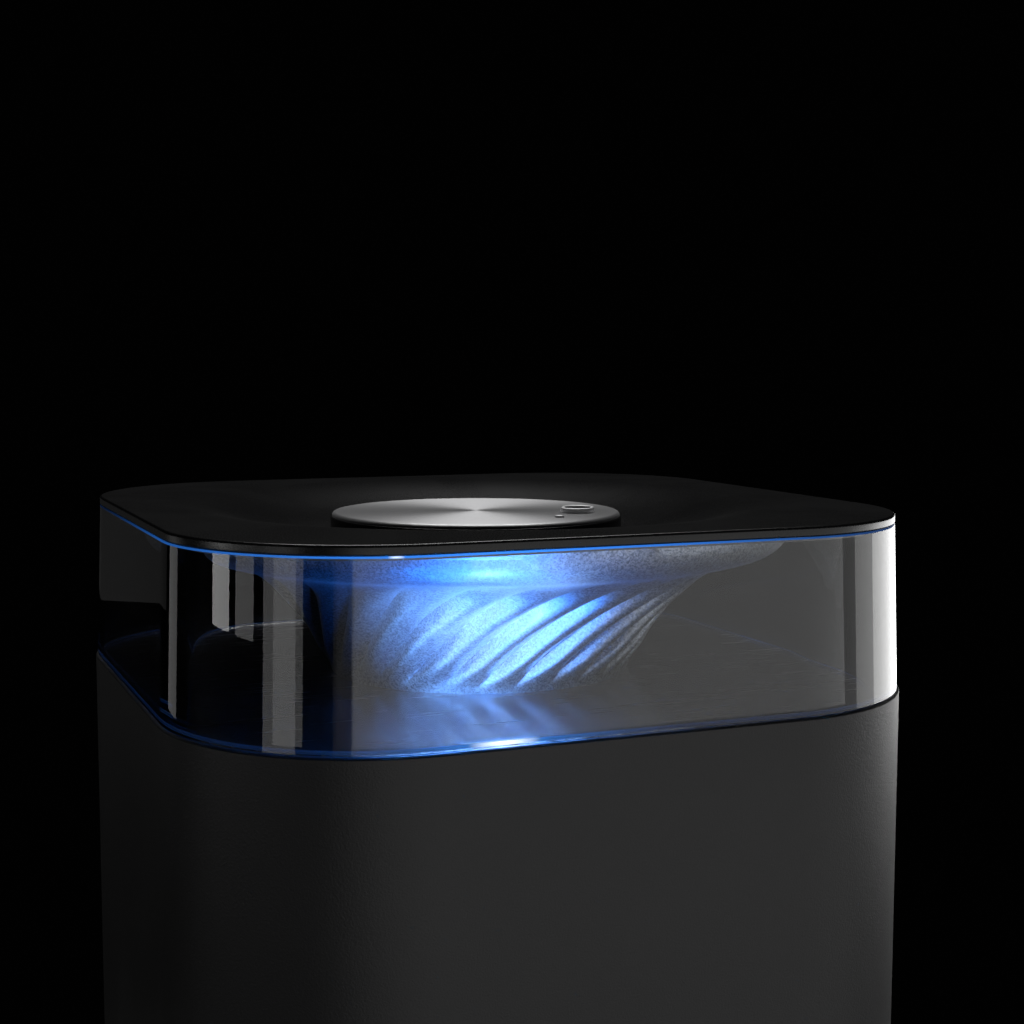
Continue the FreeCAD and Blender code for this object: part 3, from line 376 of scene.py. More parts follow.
# %% Circular brush lines
def brushed_disc():
    material, nodes, links, shader, place = start_material("disc_aluminium")
    flat = nodes.new("ShaderNodeVectorMath")
    flat.operation = "MULTIPLY"
    flat.inputs[1].default_value = (1.0, 1.0, 0.0)
    links.new(place, flat.inputs[0])
    length = nodes.new("ShaderNodeVectorMath")
    length.operation = "LENGTH"
    links.new(flat.outputs["Vector"], length.inputs[0])
    rings = nodes.new("ShaderNodeTexNoise")
    rings.noise_dimensions = "1D"
    rings.inputs["Scale"].default_value = 5200
    rings.inputs["Detail"].default_value = 5
    links.new(length.outputs["Value"], rings.inputs["W"])
    marks = nodes.new("ShaderNodeGroup")
    marks.node_tree = SURFACE
    links.new(place, marks.inputs["Vector"])
    broken = math_node(nodes, links, "MULTIPLY", rings.outputs["Fac"], marks.outputs["Patches"])
    dark, light = (0.62, 0.62, 0.63), (0.86, 0.86, 0.87)
    tone = blend_colours(nodes, links, rings.outputs["Fac"], dark, light)
    links.new(tone, shader.inputs["Base Color"])
    rough = math_node(nodes, links, "MULTIPLY_ADD", broken, 0.2, 0.44)
    links.new(rough, shader.inputs["Roughness"])
    shader.inputs["Metallic"].default_value = 1.0
    shader.inputs["Anisotropic"].default_value = 0.6
    shader.inputs["Anisotropic Rotation"].default_value = 0.25
    round_axis = nodes.new("ShaderNodeTangent")
    round_axis.direction_type = "RADIAL"
    round_axis.axis = "Z"
    links.new(round_axis.outputs["Tangent"], shader.inputs["Tangent"])
    bump = nodes.new("ShaderNodeBump")
    bump.inputs["Strength"].default_value = 0.5
    bump.inputs["Distance"].default_value = 0.01 * MM
    links.new(rings.outputs["Fac"], bump.inputs["Height"])
    links.new(bump.outputs["Normal"], shader.inputs["Normal"])
    return material


disc_aluminium = brushed_disc()

# %% [markdown]
# ## Silver with a fine sparkle
# The funnel is moulded in a plastic that is full of tiny metal flakes. Each flake lies at its
# own angle, so a lamp close by makes some of them glitter. Voronoi cells give every flake
# its own random height for the bump, and the cell's colour also brightens it a little. The
# silver is painted dark and bluish: painted shade and a painted blue cast of the lamp.

# %% Flake finish
def flake_silver_painted_blue_cast():
    material, nodes, links, shader, place = start_material("funnel_silver")
    flakes = nodes.new("ShaderNodeTexVoronoi")
    flakes.inputs["Scale"].default_value = 2600
    links.new(place, flakes.inputs["Vector"])
    split = nodes.new("ShaderNodeSeparateColor")
    links.new(flakes.outputs["Color"], split.inputs["Color"])
    marks = nodes.new("ShaderNodeGroup")
    marks.node_tree = SURFACE
    links.new(place, marks.inputs["Vector"])
    # Darkened, bluish silver: painted shade and a painted blue cast of the lamp's light.
    dark, light = (0.11, 0.135, 0.17), (0.40, 0.44, 0.52)
    tone = blend_colours(nodes, links, split.outputs["Red"], dark, light)
    links.new(tone, shader.inputs["Base Color"])
    rough = math_node(nodes, links, "MULTIPLY_ADD", marks.outputs["Patches"], 0.10, 0.31)
    links.new(rough, shader.inputs["Roughness"])
    shader.inputs["Metallic"].default_value = 1.0
    bump = nodes.new("ShaderNodeBump")
    bump.inputs["Strength"].default_value = 1.0
    bump.inputs["Distance"].default_value = 0.020 * MM
    links.new(split.outputs["Green"], bump.inputs["Height"])
    links.new(bump.outputs["Normal"], shader.inputs["Normal"])
    return material


funnel_silver = flake_silver_painted_blue_cast()


# %% [markdown]
# ## Clear acrylic
# Cast acrylic bends light by 1.49 and reflects about four parts in a hundred at each face.
# Lamps reach the inside through it, so for shadow rays the glass is mixed with a transparent
# shader: a full simulation of that would be far too noisy. The polished top edge carries
# blue light round the tower like a light guide. Here that light is painted glow, an emission
# in the edge's own finish that is brightest over the lamp, with a painted glint beside it.

# %% The band's glass and its painted edge glow
LAMP = Vector((-30 * MM, -87 * MM, Z_DECK))
# Place of a painted glint on the band's top edge: a small near-white spot of emission.
PAINTED_GLINT_SPOT = Vector((-56.5 * MM, -TOP_HALF, Z_BAND_TOP - HAIR))


def clear_acrylic():
    material, nodes, links, shader, place = start_material("clear_acrylic")
    shader.inputs["Base Color"].default_value = (0.97, 0.975, 0.98, 1)
    shader.inputs["Transmission Weight"].default_value = 1.0
    shader.inputs["IOR"].default_value = 1.49
    marks = nodes.new("ShaderNodeGroup")
    marks.node_tree = SURFACE
    marks.inputs["Patch Scale"].default_value = 18
    links.new(place, marks.inputs["Vector"])
    rough = math_node(nodes, links, "MULTIPLY", marks.outputs["Wipes"], 0.12)
    links.new(rough, shader.inputs["Roughness"])
    through = nodes.new("ShaderNodeBsdfTransparent")
    path = nodes.new("ShaderNodeLightPath")
    mix = nodes.new("ShaderNodeMixShader")
    links.new(path.outputs["Is Shadow Ray"], mix.inputs["Fac"])
    links.new(shader.outputs["BSDF"], mix.inputs[1])
    links.new(through.outputs["BSDF"], mix.inputs[2])
    links.new(mix.outputs["Shader"], nodes["Material Output"].inputs["Surface"])
    return material


def painted_edge_glow(name, centre, reach, fall, painted_glow_colour, painted_glint_place, painted_glint_reach):
    """Painted glow on a polished edge: emission that fades away from centre, with one painted
    glint.
    """
    material, nodes, links, shader, place = start_material(name)

    def nearness(point, far, close):
        away = nodes.new("ShaderNodeVectorMath")
        away.operation = "DISTANCE"
        links.new(place, away.inputs[0])
        away.inputs[1].default_value = point
        near = nodes.new("ShaderNodeMapRange")
        near.inputs["From Min"].default_value = far
        near.inputs["From Max"].default_value = close
        links.new(away.outputs["Value"], near.inputs["Value"])
        return near.outputs["Result"]

    # Painted glow: emission in the acrylic's finish that fades away from the centre.
    bright = math_node(nodes, links, "POWER", nearness(centre, reach, 0.0), fall)
    glow = blend_colours(nodes, links, bright, (0.0, 0.003, 0.014), painted_glow_colour)
    # A painted glint: a near-white spot of emission at one place.
    painted_glint_mask = nearness(painted_glint_place, painted_glint_reach, 0.1 * painted_glint_reach)
    glow = blend_colours(nodes, links, painted_glint_mask, glow, (0.80, 0.93, 1.0))
    links.new(glow, shader.inputs["Emission Color"])
    shader.inputs["Emission Strength"].default_value = 1.5
    shader.inputs["Base Color"].default_value = (0.05, 0.06, 0.09, 1)
    shader.inputs["Roughness"].default_value = 0.15
    return material


LAMP_ABOVE = Vector((LAMP.x, LAMP.y, Z_BAND_TOP))
LAMP_FOOT = Vector((LAMP.x, -FOOT_HALF + BAND_WALL, Z_DECK))
band_glass = clear_acrylic()
# The top edge and the foot get finishes with painted glow, though the acrylic is no lamp.
band_edge_painted_glow = painted_edge_glow(
    "acrylic_edge_painted_glow", LAMP_ABOVE, reach=155 * MM, fall=2.2, painted_glow_colour=(0.03, 0.22, 0.85),
    painted_glint_place=PAINTED_GLINT_SPOT, painted_glint_reach=2.2 * MM,
)
band_foot_painted_glow = painted_edge_glow(
    "acrylic_foot_painted_glow", LAMP_FOOT, reach=50 * MM, fall=2.5, painted_glow_colour=(0.0, 0.13, 0.5),
    painted_glint_place=LAMP_FOOT, painted_glint_reach=9 * MM,
)

# %% [markdown]
# ## The clear band
# The band is one thick-walled ring that narrows a little towards the lid. Its edges are
# polished to a small radius, which catches thin lines of light. It stands a hair clear of its
# neighbours, because two glass faces in one place confuse the light. The outer corner at the
# top and the inner one at the foot get the two finishes of painted glow.

# %% Model the band
EDGE_ROUND = 0.5 * MM


def clear_band():
    low, high = Z_DECK + HAIR, Z_BAND_TOP - HAIR
    outline = [
        (FOOT_HALF, low), (TOP_HALF, high),
        (TOP_HALF - BAND_WALL, high), (FOOT_HALF - BAND_WALL, low),
    ]
    bm = squared(lathe(outline, soft=[(EDGE_ROUND, [0, 1, 2, 3])], steps=320))
    for face in bm.faces:
        middle, normal = face.calc_center_median(), face.normal
        outwards = normal.x * middle.x + normal.y * middle.y > 0
        # The top outer corner and the foot's inner corner take the painted glow finishes.
        if middle.z > high - EDGE_ROUND and 0.2 < normal.z < 0.97 and outwards:
            face.material_index = 1
        if middle.z < low + EDGE_ROUND and -0.97 < normal.z < -0.1 and not outwards:
            face.material_index = 2
    return bm


piece(
    "band", clear_band(), "root", [band_glass, band_edge_painted_glow, band_foot_painted_glow],
    ["clear_band"],
)

# %% [markdown]
# ## The tower's shell
# The shell is a tube with a chamfer at its foot, a small radius at its top and a ledge
# inside. The panel's opening and the socket's hole are cut out of the finished ring, as a
# mould's side cores would do, because an opening drawn into a lathe outline would go all
# the way round.

# %% Model the shell
PANEL_X, PANEL_Z, PANEL_H = 30 * MM, 44 * MM, 17 * MM
JACK_Z, JACK_HOLE = 26 * MM, 7.8 * MM
CUT_REACH = 5 * MM
FOOT_CHAMFER = 1.2 * MM
LEDGE_REACH, LEDGE_DROP, LEDGE_T = 4 * MM, 12 * MM, 3 * MM


def turn_about_x(bm, degrees):
    turn = Matrix.Rotation(math.radians(degrees), 3, "X")
    bmesh.ops.rotate(bm, cent=(0, 0, 0), matrix=turn, verts=bm.verts)


def rounded_block(x, z, y_low, y_high, corner):
    """A block along Y with a rounded rectangle as its section."""
    bm = bmesh.new()
    bmesh.ops.create_grid(bm, x_segments=1, y_segments=1, size=1.0)
    bmesh.ops.scale(bm, vec=(x, z, 1), verts=bm.verts)
    bmesh.ops.bevel(
        bm, geom=bm.verts[:], offset=corner, segments=6,
        profile=0.5, affect="VERTICES", material=-1,
    )
    turn_about_x(bm, 90)
    bmesh.ops.translate(bm, vec=(0, y_low, 0), verts=bm.verts)
    grown = bmesh.ops.extrude_face_region(bm, geom=bm.faces[:])
    moved = [v for v in grown["geom"] if isinstance(v, bmesh.types.BMVert)]
    bmesh.ops.translate(bm, vec=(0, y_high - y_low, 0), verts=moved)
    bmesh.ops.recalc_face_normals(bm, faces=bm.faces)
    return bm


def rod(radius, y_low, y_high, steps=64):
    """A round rod along Y."""
    bm = lathe([(0, y_low), (radius, y_low), (radius, y_high), (0, y_high)], steps=steps)
    turn_about_x(bm, -90)
    return bm


def moved_up(bm, height):
    bmesh.ops.translate(bm, vec=(0, 0, height), verts=bm.verts)
    return bm


def body_shell():
    inside = HALF - SHELL_WALL
    ledge = inside - LEDGE_REACH
    ledge_top = Z_DECK - LEDGE_DROP
    ledge_foot = ledge_top - LEDGE_T
    outline = [
        (inside, Z_BASE), (HALF - FOOT_CHAMFER, Z_BASE), (HALF, Z_BASE + FOOT_CHAMFER),
        (HALF, Z_DECK), (inside, Z_DECK), (inside, ledge_top), (ledge, ledge_top),
        (ledge, ledge_foot), (inside, ledge_foot),
    ]
    bm = squared(lathe(outline, soft=[(0.35 * MM, [3]), (0.2 * MM, [1, 2])]))
    opening = rounded_block(
        PANEL_X, PANEL_H / 2, -HALF - CUT_REACH, -HALF + CUT_REACH, corner=3.4 * MM,
    )
    bm = cut_with(bm, moved_up(opening, PANEL_Z))
    hole = rod(JACK_HOLE, HALF - CUT_REACH, HALF + CUT_REACH)
    return cut_with(bm, moved_up(hole, JACK_Z))


piece("tower_shell", body_shell(), "root", [body_black], ["body_shell"])

# %% [markdown]
# ## The funnel
# Water is poured through this funnel with the lid off, and its outside is what the lamp
# lights up. It flares like a trumpet, and round lobes wind up it with a sharp crease between
# each two. The trumpet is spun from one curve. Its rings are then turned a little further
# with height, so that the mesh itself follows the twist and each crease lies on a row of
# points, and every point is pushed in or out by its place on the lobe. The lobes fade out
# at the stem and under the flare, so they are strongest where the light rakes them.

# %% The trumpet's curve and the flutes
STEM_R = 42 * MM
EDGE_R = 87.6 * MM
FLANGE_T = 1.7 * MM
FLUTES = 28
FLUTE_DEPTH = 3.8 * MM
MEAN_LOBE = 0.64
FLUTE_TOP = Z_RIM - 12 * MM
TWIST = math.radians(1.27) / MM
CREASE_ANGLE, CREASE_Z = math.radians(-107.6), Z_RIM - 32 * MM
FUNNEL_WALL = 1.6 * MM
FLARE_POINTS, ROLL_POINTS = 34, 10
STEPS_PER_FLUTE = 24


def trumpet_points():
    """The outside from the deck to the flange: a flare, then a rolled edge that turns up."""
    stem = Vector((STEM_R, Z_DECK))
    stem_handle = Vector((46.5 * MM, Z_DECK + 13 * MM))
    flare_handle = Vector((58 * MM, Z_RIM - 16.5 * MM))
    brow = Vector((78 * MM, Z_RIM - 13.8 * MM))
    brow_handle = Vector((82.5 * MM, Z_RIM - 13.2 * MM))
    edge_handle = Vector((87.2 * MM, Z_RIM - 10.5 * MM))
    edge = Vector((EDGE_R, Z_BAND_TOP - HAIR - FLANGE_T))
    flare = interpolate_bezier(stem, stem_handle, flare_handle, brow, FLARE_POINTS)
    rolled = interpolate_bezier(brow, brow_handle, edge_handle, edge, ROLL_POINTS)
    return flare + rolled[1:]


def ramp(value, start, end):
    t = min(1.0, max(0.0, (value - start) / (end - start)))
    return t * t * (3 - 2 * t)


def flute_turn(z):
    """How far the flutes have wound round at this height."""
    return CREASE_ANGLE + TWIST * (min(z, FLUTE_TOP) - CREASE_Z)


def flute_depth(turned, z):
    """How far the surface is pushed in: lobes with a sharp crease between each two."""
    lobe = abs(math.sin(turned * FLUTES / 2))
    risen = ramp(z, Z_DECK + 1 * MM, Z_DECK + 9 * MM)
    faded = 1 - ramp(z, Z_RIM - 25 * MM, Z_RIM - 13 * MM)
    return FLUTE_DEPTH * (risen * faded) * (MEAN_LOBE - lobe)


# %% Model the funnel
def fluted_funnel():
    outside = trumpet_points()
    inside = [p + Vector((-FUNNEL_WALL * 0.7, FUNNEL_WALL * 0.7)) for p in reversed(outside[:-3])]
    top = Z_BAND_TOP - HAIR
    stem_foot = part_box("fluted_funnel")[0].z
    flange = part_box("fluted_funnel")[1].x
    outline = [(p.x, p.y) for p in outside]
    outline += [(flange, top - FLANGE_T), (flange, top), (EDGE_R - FUNNEL_WALL, top)]
    outline += [(p.x, p.y) for p in inside]
    outline += [(STEM_R - FUNNEL_WALL, stem_foot), (STEM_R, stem_foot)]
    bm = lathe(outline, steps=FLUTES * STEPS_PER_FLUTE)
    for v in bm.verts:
        radius = math.hypot(v.co.x, v.co.y)
        turned = math.atan2(v.co.y, v.co.x)
        v.co.rotate(Matrix.Rotation(flute_turn(v.co.z), 3, "Z"))
        if STEM_R - FUNNEL_WALL < radius < EDGE_R:
            depth = flute_depth(turned, v.co.z)
            slope = ramp(radius, STEM_R, EDGE_R)
            out = Vector((v.co.x, v.co.y, 0)).normalized()
            v.co -= (out * (1 - slope) - Vector((0, 0, 1)) * slope).normalized() * depth
    squared(bm, from_radius=EDGE_R)
    # The flange's faces take the grey painted reflection.
    for face in bm.faces:
        if face.calc_center_median().z > top - FLANGE_T - HAIR:
            face.material_index = 1
    return bm


piece(
    "funnel", fluted_funnel(), "root", [funnel_silver, flange_grey_painted_reflection],
    ["fluted_funnel"], even=False,
)

# %% [markdown]
# ## The lid
# The lid is a thin plate with a smooth dish, so that drops run back to the middle. Its rim is
# softened, and that soft edge draws the bright line round the top. The outline is a
# closed one with the dish as half a cosine wave. Inside the dish the lid is round, and only
# its flat margin is squared.

# %% Model the lid
HUB_HOLE = 37.8 * MM
COLLAR_R = 39.8 * MM


def dish(drop, count=14):
    """Points from the seat up to the rim, lowered by drop."""
    points = []
    for i in range(count + 1):
        t = i / count
        height = Z_RIM - drop - DISH_DEPTH * (1 + math.cos(math.pi * t)) / 2
        points.append((DISH_SEAT_R + (DISH_R - DISH_SEAT_R) * t, height))
    return points


def lid_plate():
    seat = Z_RIM - DISH_DEPTH
    under_top = Z_RIM - LID_EDGE
    outline = [(HUB_HOLE, seat)] + dish(0) + [(TOP_HALF, Z_RIM), (TOP_HALF, under_top)]
    outline += list(reversed(dish(LID_EDGE)))
    outline += [(COLLAR_R, seat - LID_EDGE), (COLLAR_R, Z_LID_FOOT)]
    outline += [(HUB_HOLE, Z_LID_FOOT)]
    rim = 1 + len(dish(0))
    bm = lathe(outline, soft=[(0.7 * MM, [rim]), (0.3 * MM, [rim + 1]), (0.3 * MM, [0])])
    return squared(bm, from_radius=DISH_R)


piece("lid", lid_plate(), "lid", [lid_satin], ["lid_plate"])

# %% [markdown]
# ## The disc and its outlet
# The disc turns by hand to aim the mist. It is a thin aluminium plate pressed into a black
# hub with a skirt, and the outlet is a raised oval lip near its edge with a small grip pip
# beside it. The hole is cut through the plate and the hub, so that the outlet is really open.

# %% Model the outlet's slot
SPOUT = [Vector(corner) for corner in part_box("mist_spout")]
SPOUT_MIDDLE = (SPOUT[0] + SPOUT[1]) / 2
SPOUT_TURN = math.atan2(SPOUT_MIDDLE.y, SPOUT_MIDDLE.x)
SPOUT_PLACE = math.hypot(SPOUT_MIDDLE.x, SPOUT_MIDDLE.y)
SPOUT_HALF_WIDTH, SPOUT_REACH = 4.65 * MM, 1.1 * MM


def at_spout(bm):
    """Turns a slot shape made at the axis and moves it to the outlet."""
    turn = Matrix.Rotation(SPOUT_TURN + math.radians(90), 4, "Z")
    bmesh.ops.translate(bm, vec=(0, -SPOUT_PLACE, 0), verts=bm.verts)
    bmesh.ops.transform(bm, matrix=turn, verts=bm.verts)
    return bm


def slot_shape(outline, soft=()):
    bm = lathe(outline, soft, steps=72)
    half_step = Matrix.Rotation(math.radians(2.5), 4, "Z")
    bmesh.ops.transform(bm, matrix=half_step, verts=bm.verts)
    return at_spout(stretched(bm, SPOUT_REACH))


def slot_cutter(radius):
    low, high = Z_DISC - 20 * MM, Z_DISC + 20 * MM
    return slot_shape([(0, low), (radius, low), (radius, high), (0, high)])


# %% Model the disc, the hub and the lip
HUB_R, HUB_WALL = 37.5 * MM, 2.2 * MM
SKIRT_WALL, SKIRT_GAP = 1.8 * MM, 0.3 * MM
WEB_T = 1.5 * MM
LIP_WALL, LIP_FLANGE, LIP_FLANGE_T = 1.2 * MM, 0.8 * MM, 1.0 * MM
PIP_R, PIP_HEIGHT = 1.3 * MM, 0.6 * MM
SLOT_CLEARANCE = 0.05 * MM


def disc_plate():
    under = Z_DISC - DISC_T
    outline = [(0, under), (DISC_R, under), (DISC_R, Z_DISC), (0, Z_DISC)]
    bm = lathe(outline, soft=[(1.0 * MM, [2])])
    return cut_with(bm, slot_cutter(SPOUT_HALF_WIDTH + SLOT_CLEARANCE))


def disc_hub():
    low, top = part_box("disc_hub")[0].z, Z_DISC - DISC_T
    skirt_low = Z_RIM - DISH_DEPTH + SKIRT_GAP
    web = top - WEB_T
    hub_inside, skirt_inside = HUB_R - HUB_WALL, SKIRT_R - SKIRT_WALL
    outline = [
        (0, web), (hub_inside, web), (hub_inside, low), (HUB_R, low), (HUB_R, web),
        (skirt_inside, web), (skirt_inside, skirt_low), (SKIRT_R, skirt_low),
        (SKIRT_R, top), (0, top),
    ]
    bm = lathe(outline, soft=[(0.4 * MM, [8]), (0.3 * MM, [7])])
    return cut_with(bm, slot_cutter(SPOUT_HALF_WIDTH + SLOT_CLEARANCE))


def mist_spout():
    low, high = SPOUT[0].z, SPOUT[1].z
    outer, inner = SPOUT_HALF_WIDTH, SPOUT_HALF_WIDTH - LIP_WALL
    flange, flange_top = outer + LIP_FLANGE, low + LIP_FLANGE_T
    outline = [
        (inner, low), (flange, low), (flange, flange_top), (outer, flange_top),
        (outer, high), (inner, high),
    ]
    return slot_shape(outline, soft=[(0.5 * MM, [4, 5])])


def grip_pip():
    low, high = Z_DISC - PIP_HEIGHT, Z_DISC + PIP_HEIGHT
    outline = [(0, low), (PIP_R, low), (PIP_R, high), (0, high)]
    bm = lathe(outline, soft=[(0.35 * MM, [2])], steps=32)
    turn = SPOUT_TURN - math.radians(32)
    place = SPOUT_PLACE + 1.8 * MM
    spot = (place * math.cos(turn), place * math.sin(turn), 0)
    bmesh.ops.translate(bm, vec=spot, verts=bm.verts)
    return bm


piece(
    "brushed_disc", disc_plate(), "disc", [disc_aluminium], ["disc_plate"],
)
piece("disc_skirt", disc_hub(), "disc", [trim_black], ["disc_hub"])
piece("outlet_lip", mist_spout(), "disc", [spout_metal], ["mist_spout"])
piece("grip_pip", grip_pip(), "disc", [spout_metal])

# %% [markdown]
# ## The lamp's window
# Diodes shine up through a slim frosted window in the deck, near the front wall. It glows
# almost white along its front edge, and fades to blue behind that edge and to nothing at its
# ends. An even glow would be simpler, but would look like a sticker.

# %% Frosted window
WINDOW_REACH, WINDOW_DEPTH = 11 * MM, 2.6 * MM


def window_glow():
    material, nodes, links, shader, place = start_material("led_window")
    along = nodes.new("ShaderNodeSeparateXYZ")
    links.new(place, along.inputs["Vector"])
    offset = math_node(nodes, links, "SUBTRACT", along.outputs["X"], LAMP.x)
    aside = math_node(nodes, links, "ABSOLUTE", offset)
    end = math_node(nodes, links, "DIVIDE", aside, WINDOW_REACH)
    fade = math_node(nodes, links, "SUBTRACT", 1.0, math_node(nodes, links, "POWER", end, 2.5))
    across = nodes.new("ShaderNodeMapRange")
    across.inputs["From Min"].default_value = LAMP.y + WINDOW_DEPTH
    across.inputs["From Max"].default_value = LAMP.y - WINDOW_DEPTH
    links.new(along.outputs["Y"], across.inputs["Value"])

    def falling(power):
        front = math_node(nodes, links, "POWER", across.outputs["Result"], power)
        return math_node(nodes, links, "MULTIPLY", fade, front)

    halo = blend_colours(nodes, links, falling(2.0), (0.0, 0.0, 0.0), (0.0, 0.17, 0.62))
    glow = blend_colours(nodes, links, falling(9.0), halo, (0.50, 0.78, 1.0))
    links.new(glow, shader.inputs["Emission Color"])
    shader.inputs["Emission Strength"].default_value = 1.0
    shader.inputs["Base Color"].default_value = (0.006, 0.006, 0.010, 1)
    shader.inputs["Roughness"].default_value = 0.22
    return material


led_window = window_glow()

# %% [markdown]
# ## Finishes for the pieces inside
# The parts under the lid and inside the tower keep their shape from the mechanical design,
# which is already right. They still get finishes: solder mask with tracks, open foam with
# painted shade in its pores, and wound copper with painted shade between its turns.

# %% Circuit board, foam and copper
def circuit_board():
    material, nodes, links, shader, place = start_material("circuit_board")
    tracks = nodes.new("ShaderNodeTexBrick")
    tracks.inputs["Scale"].default_value = 220
    tracks.inputs["Mortar Size"].default_value = 0.06
    links.new(place, tracks.inputs["Vector"])
    dark, light = (0.008, 0.10, 0.045), (0.03, 0.24, 0.11)
    tone = blend_colours(nodes, links, tracks.outputs["Fac"], dark, light)
    links.new(tone, shader.inputs["Base Color"])
    shader.inputs["Roughness"].default_value = 0.3
    bump = nodes.new("ShaderNodeBump")
    bump.inputs["Distance"].default_value = 0.04 * MM
    links.new(tracks.outputs["Fac"], bump.inputs["Height"])
    links.new(bump.outputs["Normal"], shader.inputs["Normal"])
    return material


def open_foam_painted_pore_shade():
    material, nodes, links, shader, place = start_material("filter_foam")
    cells = nodes.new("ShaderNodeTexVoronoi")
    cells.feature = "DISTANCE_TO_EDGE"
    cells.inputs["Scale"].default_value = 650
    links.new(place, cells.inputs["Vector"])
    # The recessed pores are near-black: painted shade in the hollows, with the strands lighter.
    dark, light = (0.10, 0.10, 0.105), (0.004, 0.004, 0.004)
    tone = blend_colours(nodes, links, cells.outputs["Distance"], dark, light)
    links.new(tone, shader.inputs["Base Color"])
    shader.inputs["Roughness"].default_value = 0.9
    bump = nodes.new("ShaderNodeBump")
    bump.invert = True
    bump.inputs["Distance"].default_value = 0.6 * MM
    links.new(cells.outputs["Distance"], bump.inputs["Height"])
    links.new(bump.outputs["Normal"], shader.inputs["Normal"])
    return material


def wound_copper_painted_groove_shade():
    material, nodes, links, shader, place = start_material("copper_coil")
    turns = nodes.new("ShaderNodeTexWave")
    turns.bands_direction = "Z"
    turns.inputs["Scale"].default_value = 420
    turns.inputs["Distortion"].default_value = 0.4
    links.new(place, turns.inputs["Vector"])
    # Darker between the turns: painted shade in the grooves, with the crests lighter.
    dark, light = (0.30, 0.10, 0.03), (0.85, 0.42, 0.20)
    tone = blend_colours(nodes, links, turns.outputs["Fac"], dark, light)
    links.new(tone, shader.inputs["Base Color"])
    shader.inputs["Metallic"].default_value = 0.9
    shader.inputs["Roughness"].default_value = 0.3
    bump = nodes.new("ShaderNodeBump")
    bump.inputs["Distance"].default_value = 0.3 * MM
    links.new(turns.outputs["Fac"], bump.inputs["Height"])
    links.new(bump.outputs["Normal"], shader.inputs["Normal"])
    return material


# %% Give every remaining node its finish
FINISHES = {
    "body_black": body_black, "rubber_black": rubber_black, "steel": steel,
    "clear_acrylic": band_glass,
    "deck_gloss": deck_gloss, "led_window": led_window, "circuit_board": circuit_board(),
    "funnel_silver": funnel_silver, "lid_satin": lid_satin, "silicone_grey": silicone_grey,
    "trim_black": trim_black, "disc_aluminium": disc_aluminium, "spout_metal": spout_metal,
    "tank_plastic": tank_plastic, "float_white": float_white, "holder_metal": holder_metal,
    "piezo_ceramic": piezo_ceramic, "filter_foam": open_foam_painted_pore_shade(), "sink_aluminium": sink_aluminium,
    "capacitor_sleeve": capacitor_sleeve, "copper_coil": wound_copper_painted_groove_shade(),
    "panel_satin": panel_satin,
    "button_rubber": button_rubber,
}
for part in frame["record"]["subparts"]:
    node = frame["nodes"][part["node"]]
    node.data.materials.clear()
    node.data.materials.append(FINISHES[part["material_slot"]])

# %% [markdown]
# ## Camera
# The camera stands a little above the lid, half a metre away, and looks at the front and a
# sliver of the left side. A lens of 57 mm on a 36 mm sensor gives the same perspective.

# %% Place the camera
def make_camera():
    azimuth, distance, height = math.radians(-21.27), 461.4 * MM, 40.4 * MM
    yaw, pitch, roll = azimuth + math.radians(-1.277), math.radians(5.425), math.radians(0.09)
    ahead = Vector((-math.sin(yaw), math.cos(yaw), 0))
    right = Vector((math.cos(yaw), math.sin(yaw), 0))
    up = Vector((0, 0, 1))
    view = ahead * math.cos(pitch) - up * math.sin(pitch)
    above = up * math.cos(pitch) + ahead * math.sin(pitch)
    side = right * math.cos(roll) + above * math.sin(roll)
    above = -right * math.sin(roll) + above * math.cos(roll)
    data = bpy.data.cameras.new("camera")
    data.sensor_width, data.lens = 36, 36 * 1620 / 1024
    made = bpy.data.objects.new("camera", data)
    made.matrix_world = Matrix((
        (side.x, above.x, -view.x, math.sin(azimuth) * distance),
        (side.y, above.y, -view.y, -math.cos(azimuth) * distance),
        (side.z, above.z, -view.z, Z_RIM + height),
        (0, 0, 0, 1),
    ))
    bpy.context.scene.collection.objects.link(made)
    bpy.context.scene.camera = made
    data.clip_start = 0.01
    return made


make_camera()
bpy.context.scene.view_settings.view_transform = "Standard"

# %% [markdown]
# ## Light
# Black plastic and clear acrylic are drawn by what they reflect, so each lamp here is a panel
# of even brightness that stands where the product should mirror it. A wide dim panel at the
# front gives the soft veil on the acrylic, narrow tall ones at the left and right draw the
# strips down the corners, and one overhead wakes the brushed disc. A picture of a room all
# round would give reflections too, but none of them could be placed.

# %% Panels of even brightness
def area_lamp(name, place, back, width, height, energy):
    """A flat lamp at place. Its rear faces the direction back."""
    data = bpy.data.lights.new(name, "AREA")
    data.shape, data.size, data.size_y = "RECTANGLE", width, height
    data.energy = energy
    made = bpy.data.objects.new(name, data)
    turned = back.to_track_quat("Z", "Y").to_matrix().to_4x4()
    made.matrix_world = Matrix.Translation(place) @ turned
    made.visible_camera = False
    bpy.context.scene.collection.objects.link(made)
    return made


def panel(name, azimuth, distance, z_low, z_high, width, radiance):
    """A lamp that faces the axis. Azimuth 0 is the front (-Y) and 90 the right (+X)."""
    turn, height = math.radians(azimuth), z_high - z_low
    x, y = math.sin(turn) * distance, -math.cos(turn) * distance
    energy = radiance * math.pi * width * height
    place = Vector((x, y, (z_low + z_high) / 2))
    return area_lamp(name, place, Vector((x, y, 0)), width, height, energy)


def span(name, start, end, z_low, z_high, radiance, distance=1.2, through=True):
    """A flat panel between two directions, as seen from the axis."""
    half = math.radians(end - start) / 2
    width, near = 2 * distance * math.sin(half), distance * math.cos(half)
    made = panel(name, (start + end) / 2, near, z_low, z_high, width, radiance)
    made.visible_transmission = through


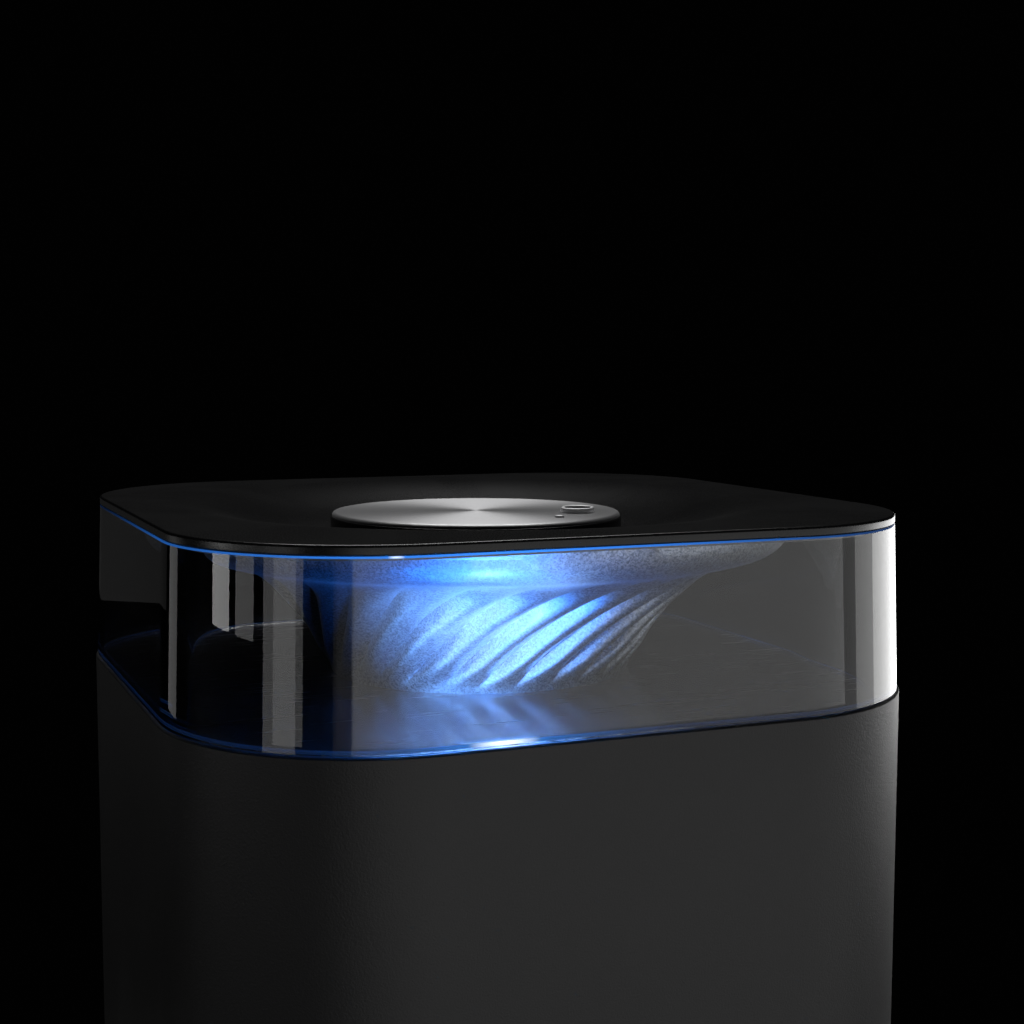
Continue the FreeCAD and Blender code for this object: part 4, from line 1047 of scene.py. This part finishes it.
span("front_panel", -27, 68, -0.25, 0.35, 0.72)
span("front_left_edge", -36, -27, 0.0, 0.35, 0.12)
span("left_strip", -71.6, -54.4, 0.05, 0.3, 0.9)
span("left_soft", -88, -77, 0.15, 0.3, 1.0, through=False)
span("left_bright", -103.5, -92, 0.15, 0.3, 3.0, through=False)
span("left_back", -147, -136, 0.03, 0.25, 0.35, through=False)
span("left_far", -178, -152, 0.12, 0.3, 0.02, through=False)
span("right_dim", 68, 85, 0.03, 0.27, 1.9, through=False)
span("right_key", 85, 136, 0.03, 0.27, 3.5, through=False)


# %% The lamp overhead
OVERHEAD_PLACE, OVERHEAD_AIM = Vector((0.22, 0.56, 1.5)), Vector((0, 0, 0.3))
OVERHEAD_WIDTH, OVERHEAD_HEIGHT, OVERHEAD_RADIANCE = 0.9, 0.4, 6.5
area_lamp(
    "overhead", OVERHEAD_PLACE, OVERHEAD_PLACE - OVERHEAD_AIM, OVERHEAD_WIDTH, OVERHEAD_HEIGHT,
    OVERHEAD_RADIANCE * math.pi * OVERHEAD_WIDTH * OVERHEAD_HEIGHT,
)

# %% [markdown]
# ## The blue light inside
# On the real object all the blue comes out of the window in the deck. Here four thin lamps
# lie just above the deck, each with its own cone: a pale core on the flare, a rake along the
# flutes, a whiter streak on the middle flutes, and a deep blue wide one over everything. One
# lamp alone would light the funnel evenly. The rake and the streak lie 26 mm to the left of
# the window. They stand in for light that scatters in the acrylic and the deck.

# %% Blue lamps
LAMP_DEPTH, LAMP_LIFT = 2 * MM, 1.2 * MM


def blue_lamp(name, energy, colour, spread, size, aim, start=LAMP):
    """A slim lamp over the deck. aim is the millimetres of the point that it shines at."""
    place = start + Vector((0, 0, LAMP_LIFT))
    made = area_lamp(name, place, place - Vector(aim) * MM, size, LAMP_DEPTH, energy)
    made.data.color, made.data.spread = colour, math.radians(spread)
    made.visible_transmission = False


RAKE_PLACE = LAMP + Vector((-26, 4, 0)) * MM
blue_lamp("lamp_core", 0.065, (0.50, 0.74, 1.0), 60, 10 * MM, (-20, -77, 287))
blue_lamp("lamp_rake", 0.25, (0.17, 0.43, 1.0), 58, 14 * MM, (-22, -46, 272), RAKE_PLACE)
blue_lamp("lamp_streak", 0.032, (0.80, 0.94, 1.0), 36, 8 * MM, (-14, -46, 271), RAKE_PLACE)
blue_lamp("lamp_wide", 0.30, (0.006, 0.22, 1.0), 150, 18 * MM, (-30, -70, 300))
print("lamps", len(bpy.data.lights))

# %% [markdown]
# ## Floor and surroundings
# A pale round floor carries the tower. It reaches 33 cm from the middle, which is outside the
# close view, so that view keeps its dark background, and the others show what the tower stands
# on. A floor without an end would be seen behind the lid.

# %% Floor and world
FLOOR_R, FLOOR_T = 330 * MM, 6 * MM


def floor():
    outline = [(0, -FLOOR_T), (FLOOR_R, -FLOOR_T), (FLOOR_R, 0), (0, 0)]
    made = new_object("floor", lathe(outline, soft=[(2 * MM, [2])], steps=128))
    pale = surface(
        "floor_pale", (0.62, 0.61, 0.59), 0.6, grain_scale=300, relief=0.02, variation=0.04,
    )
    made.data.materials.append(pale)


floor()
world = bpy.data.worlds.new("world")
bpy.context.scene.world = world
world.use_nodes = True
world.node_tree.nodes["Background"].inputs["Color"].default_value = (0.0004, 0.0004, 0.0004, 1)
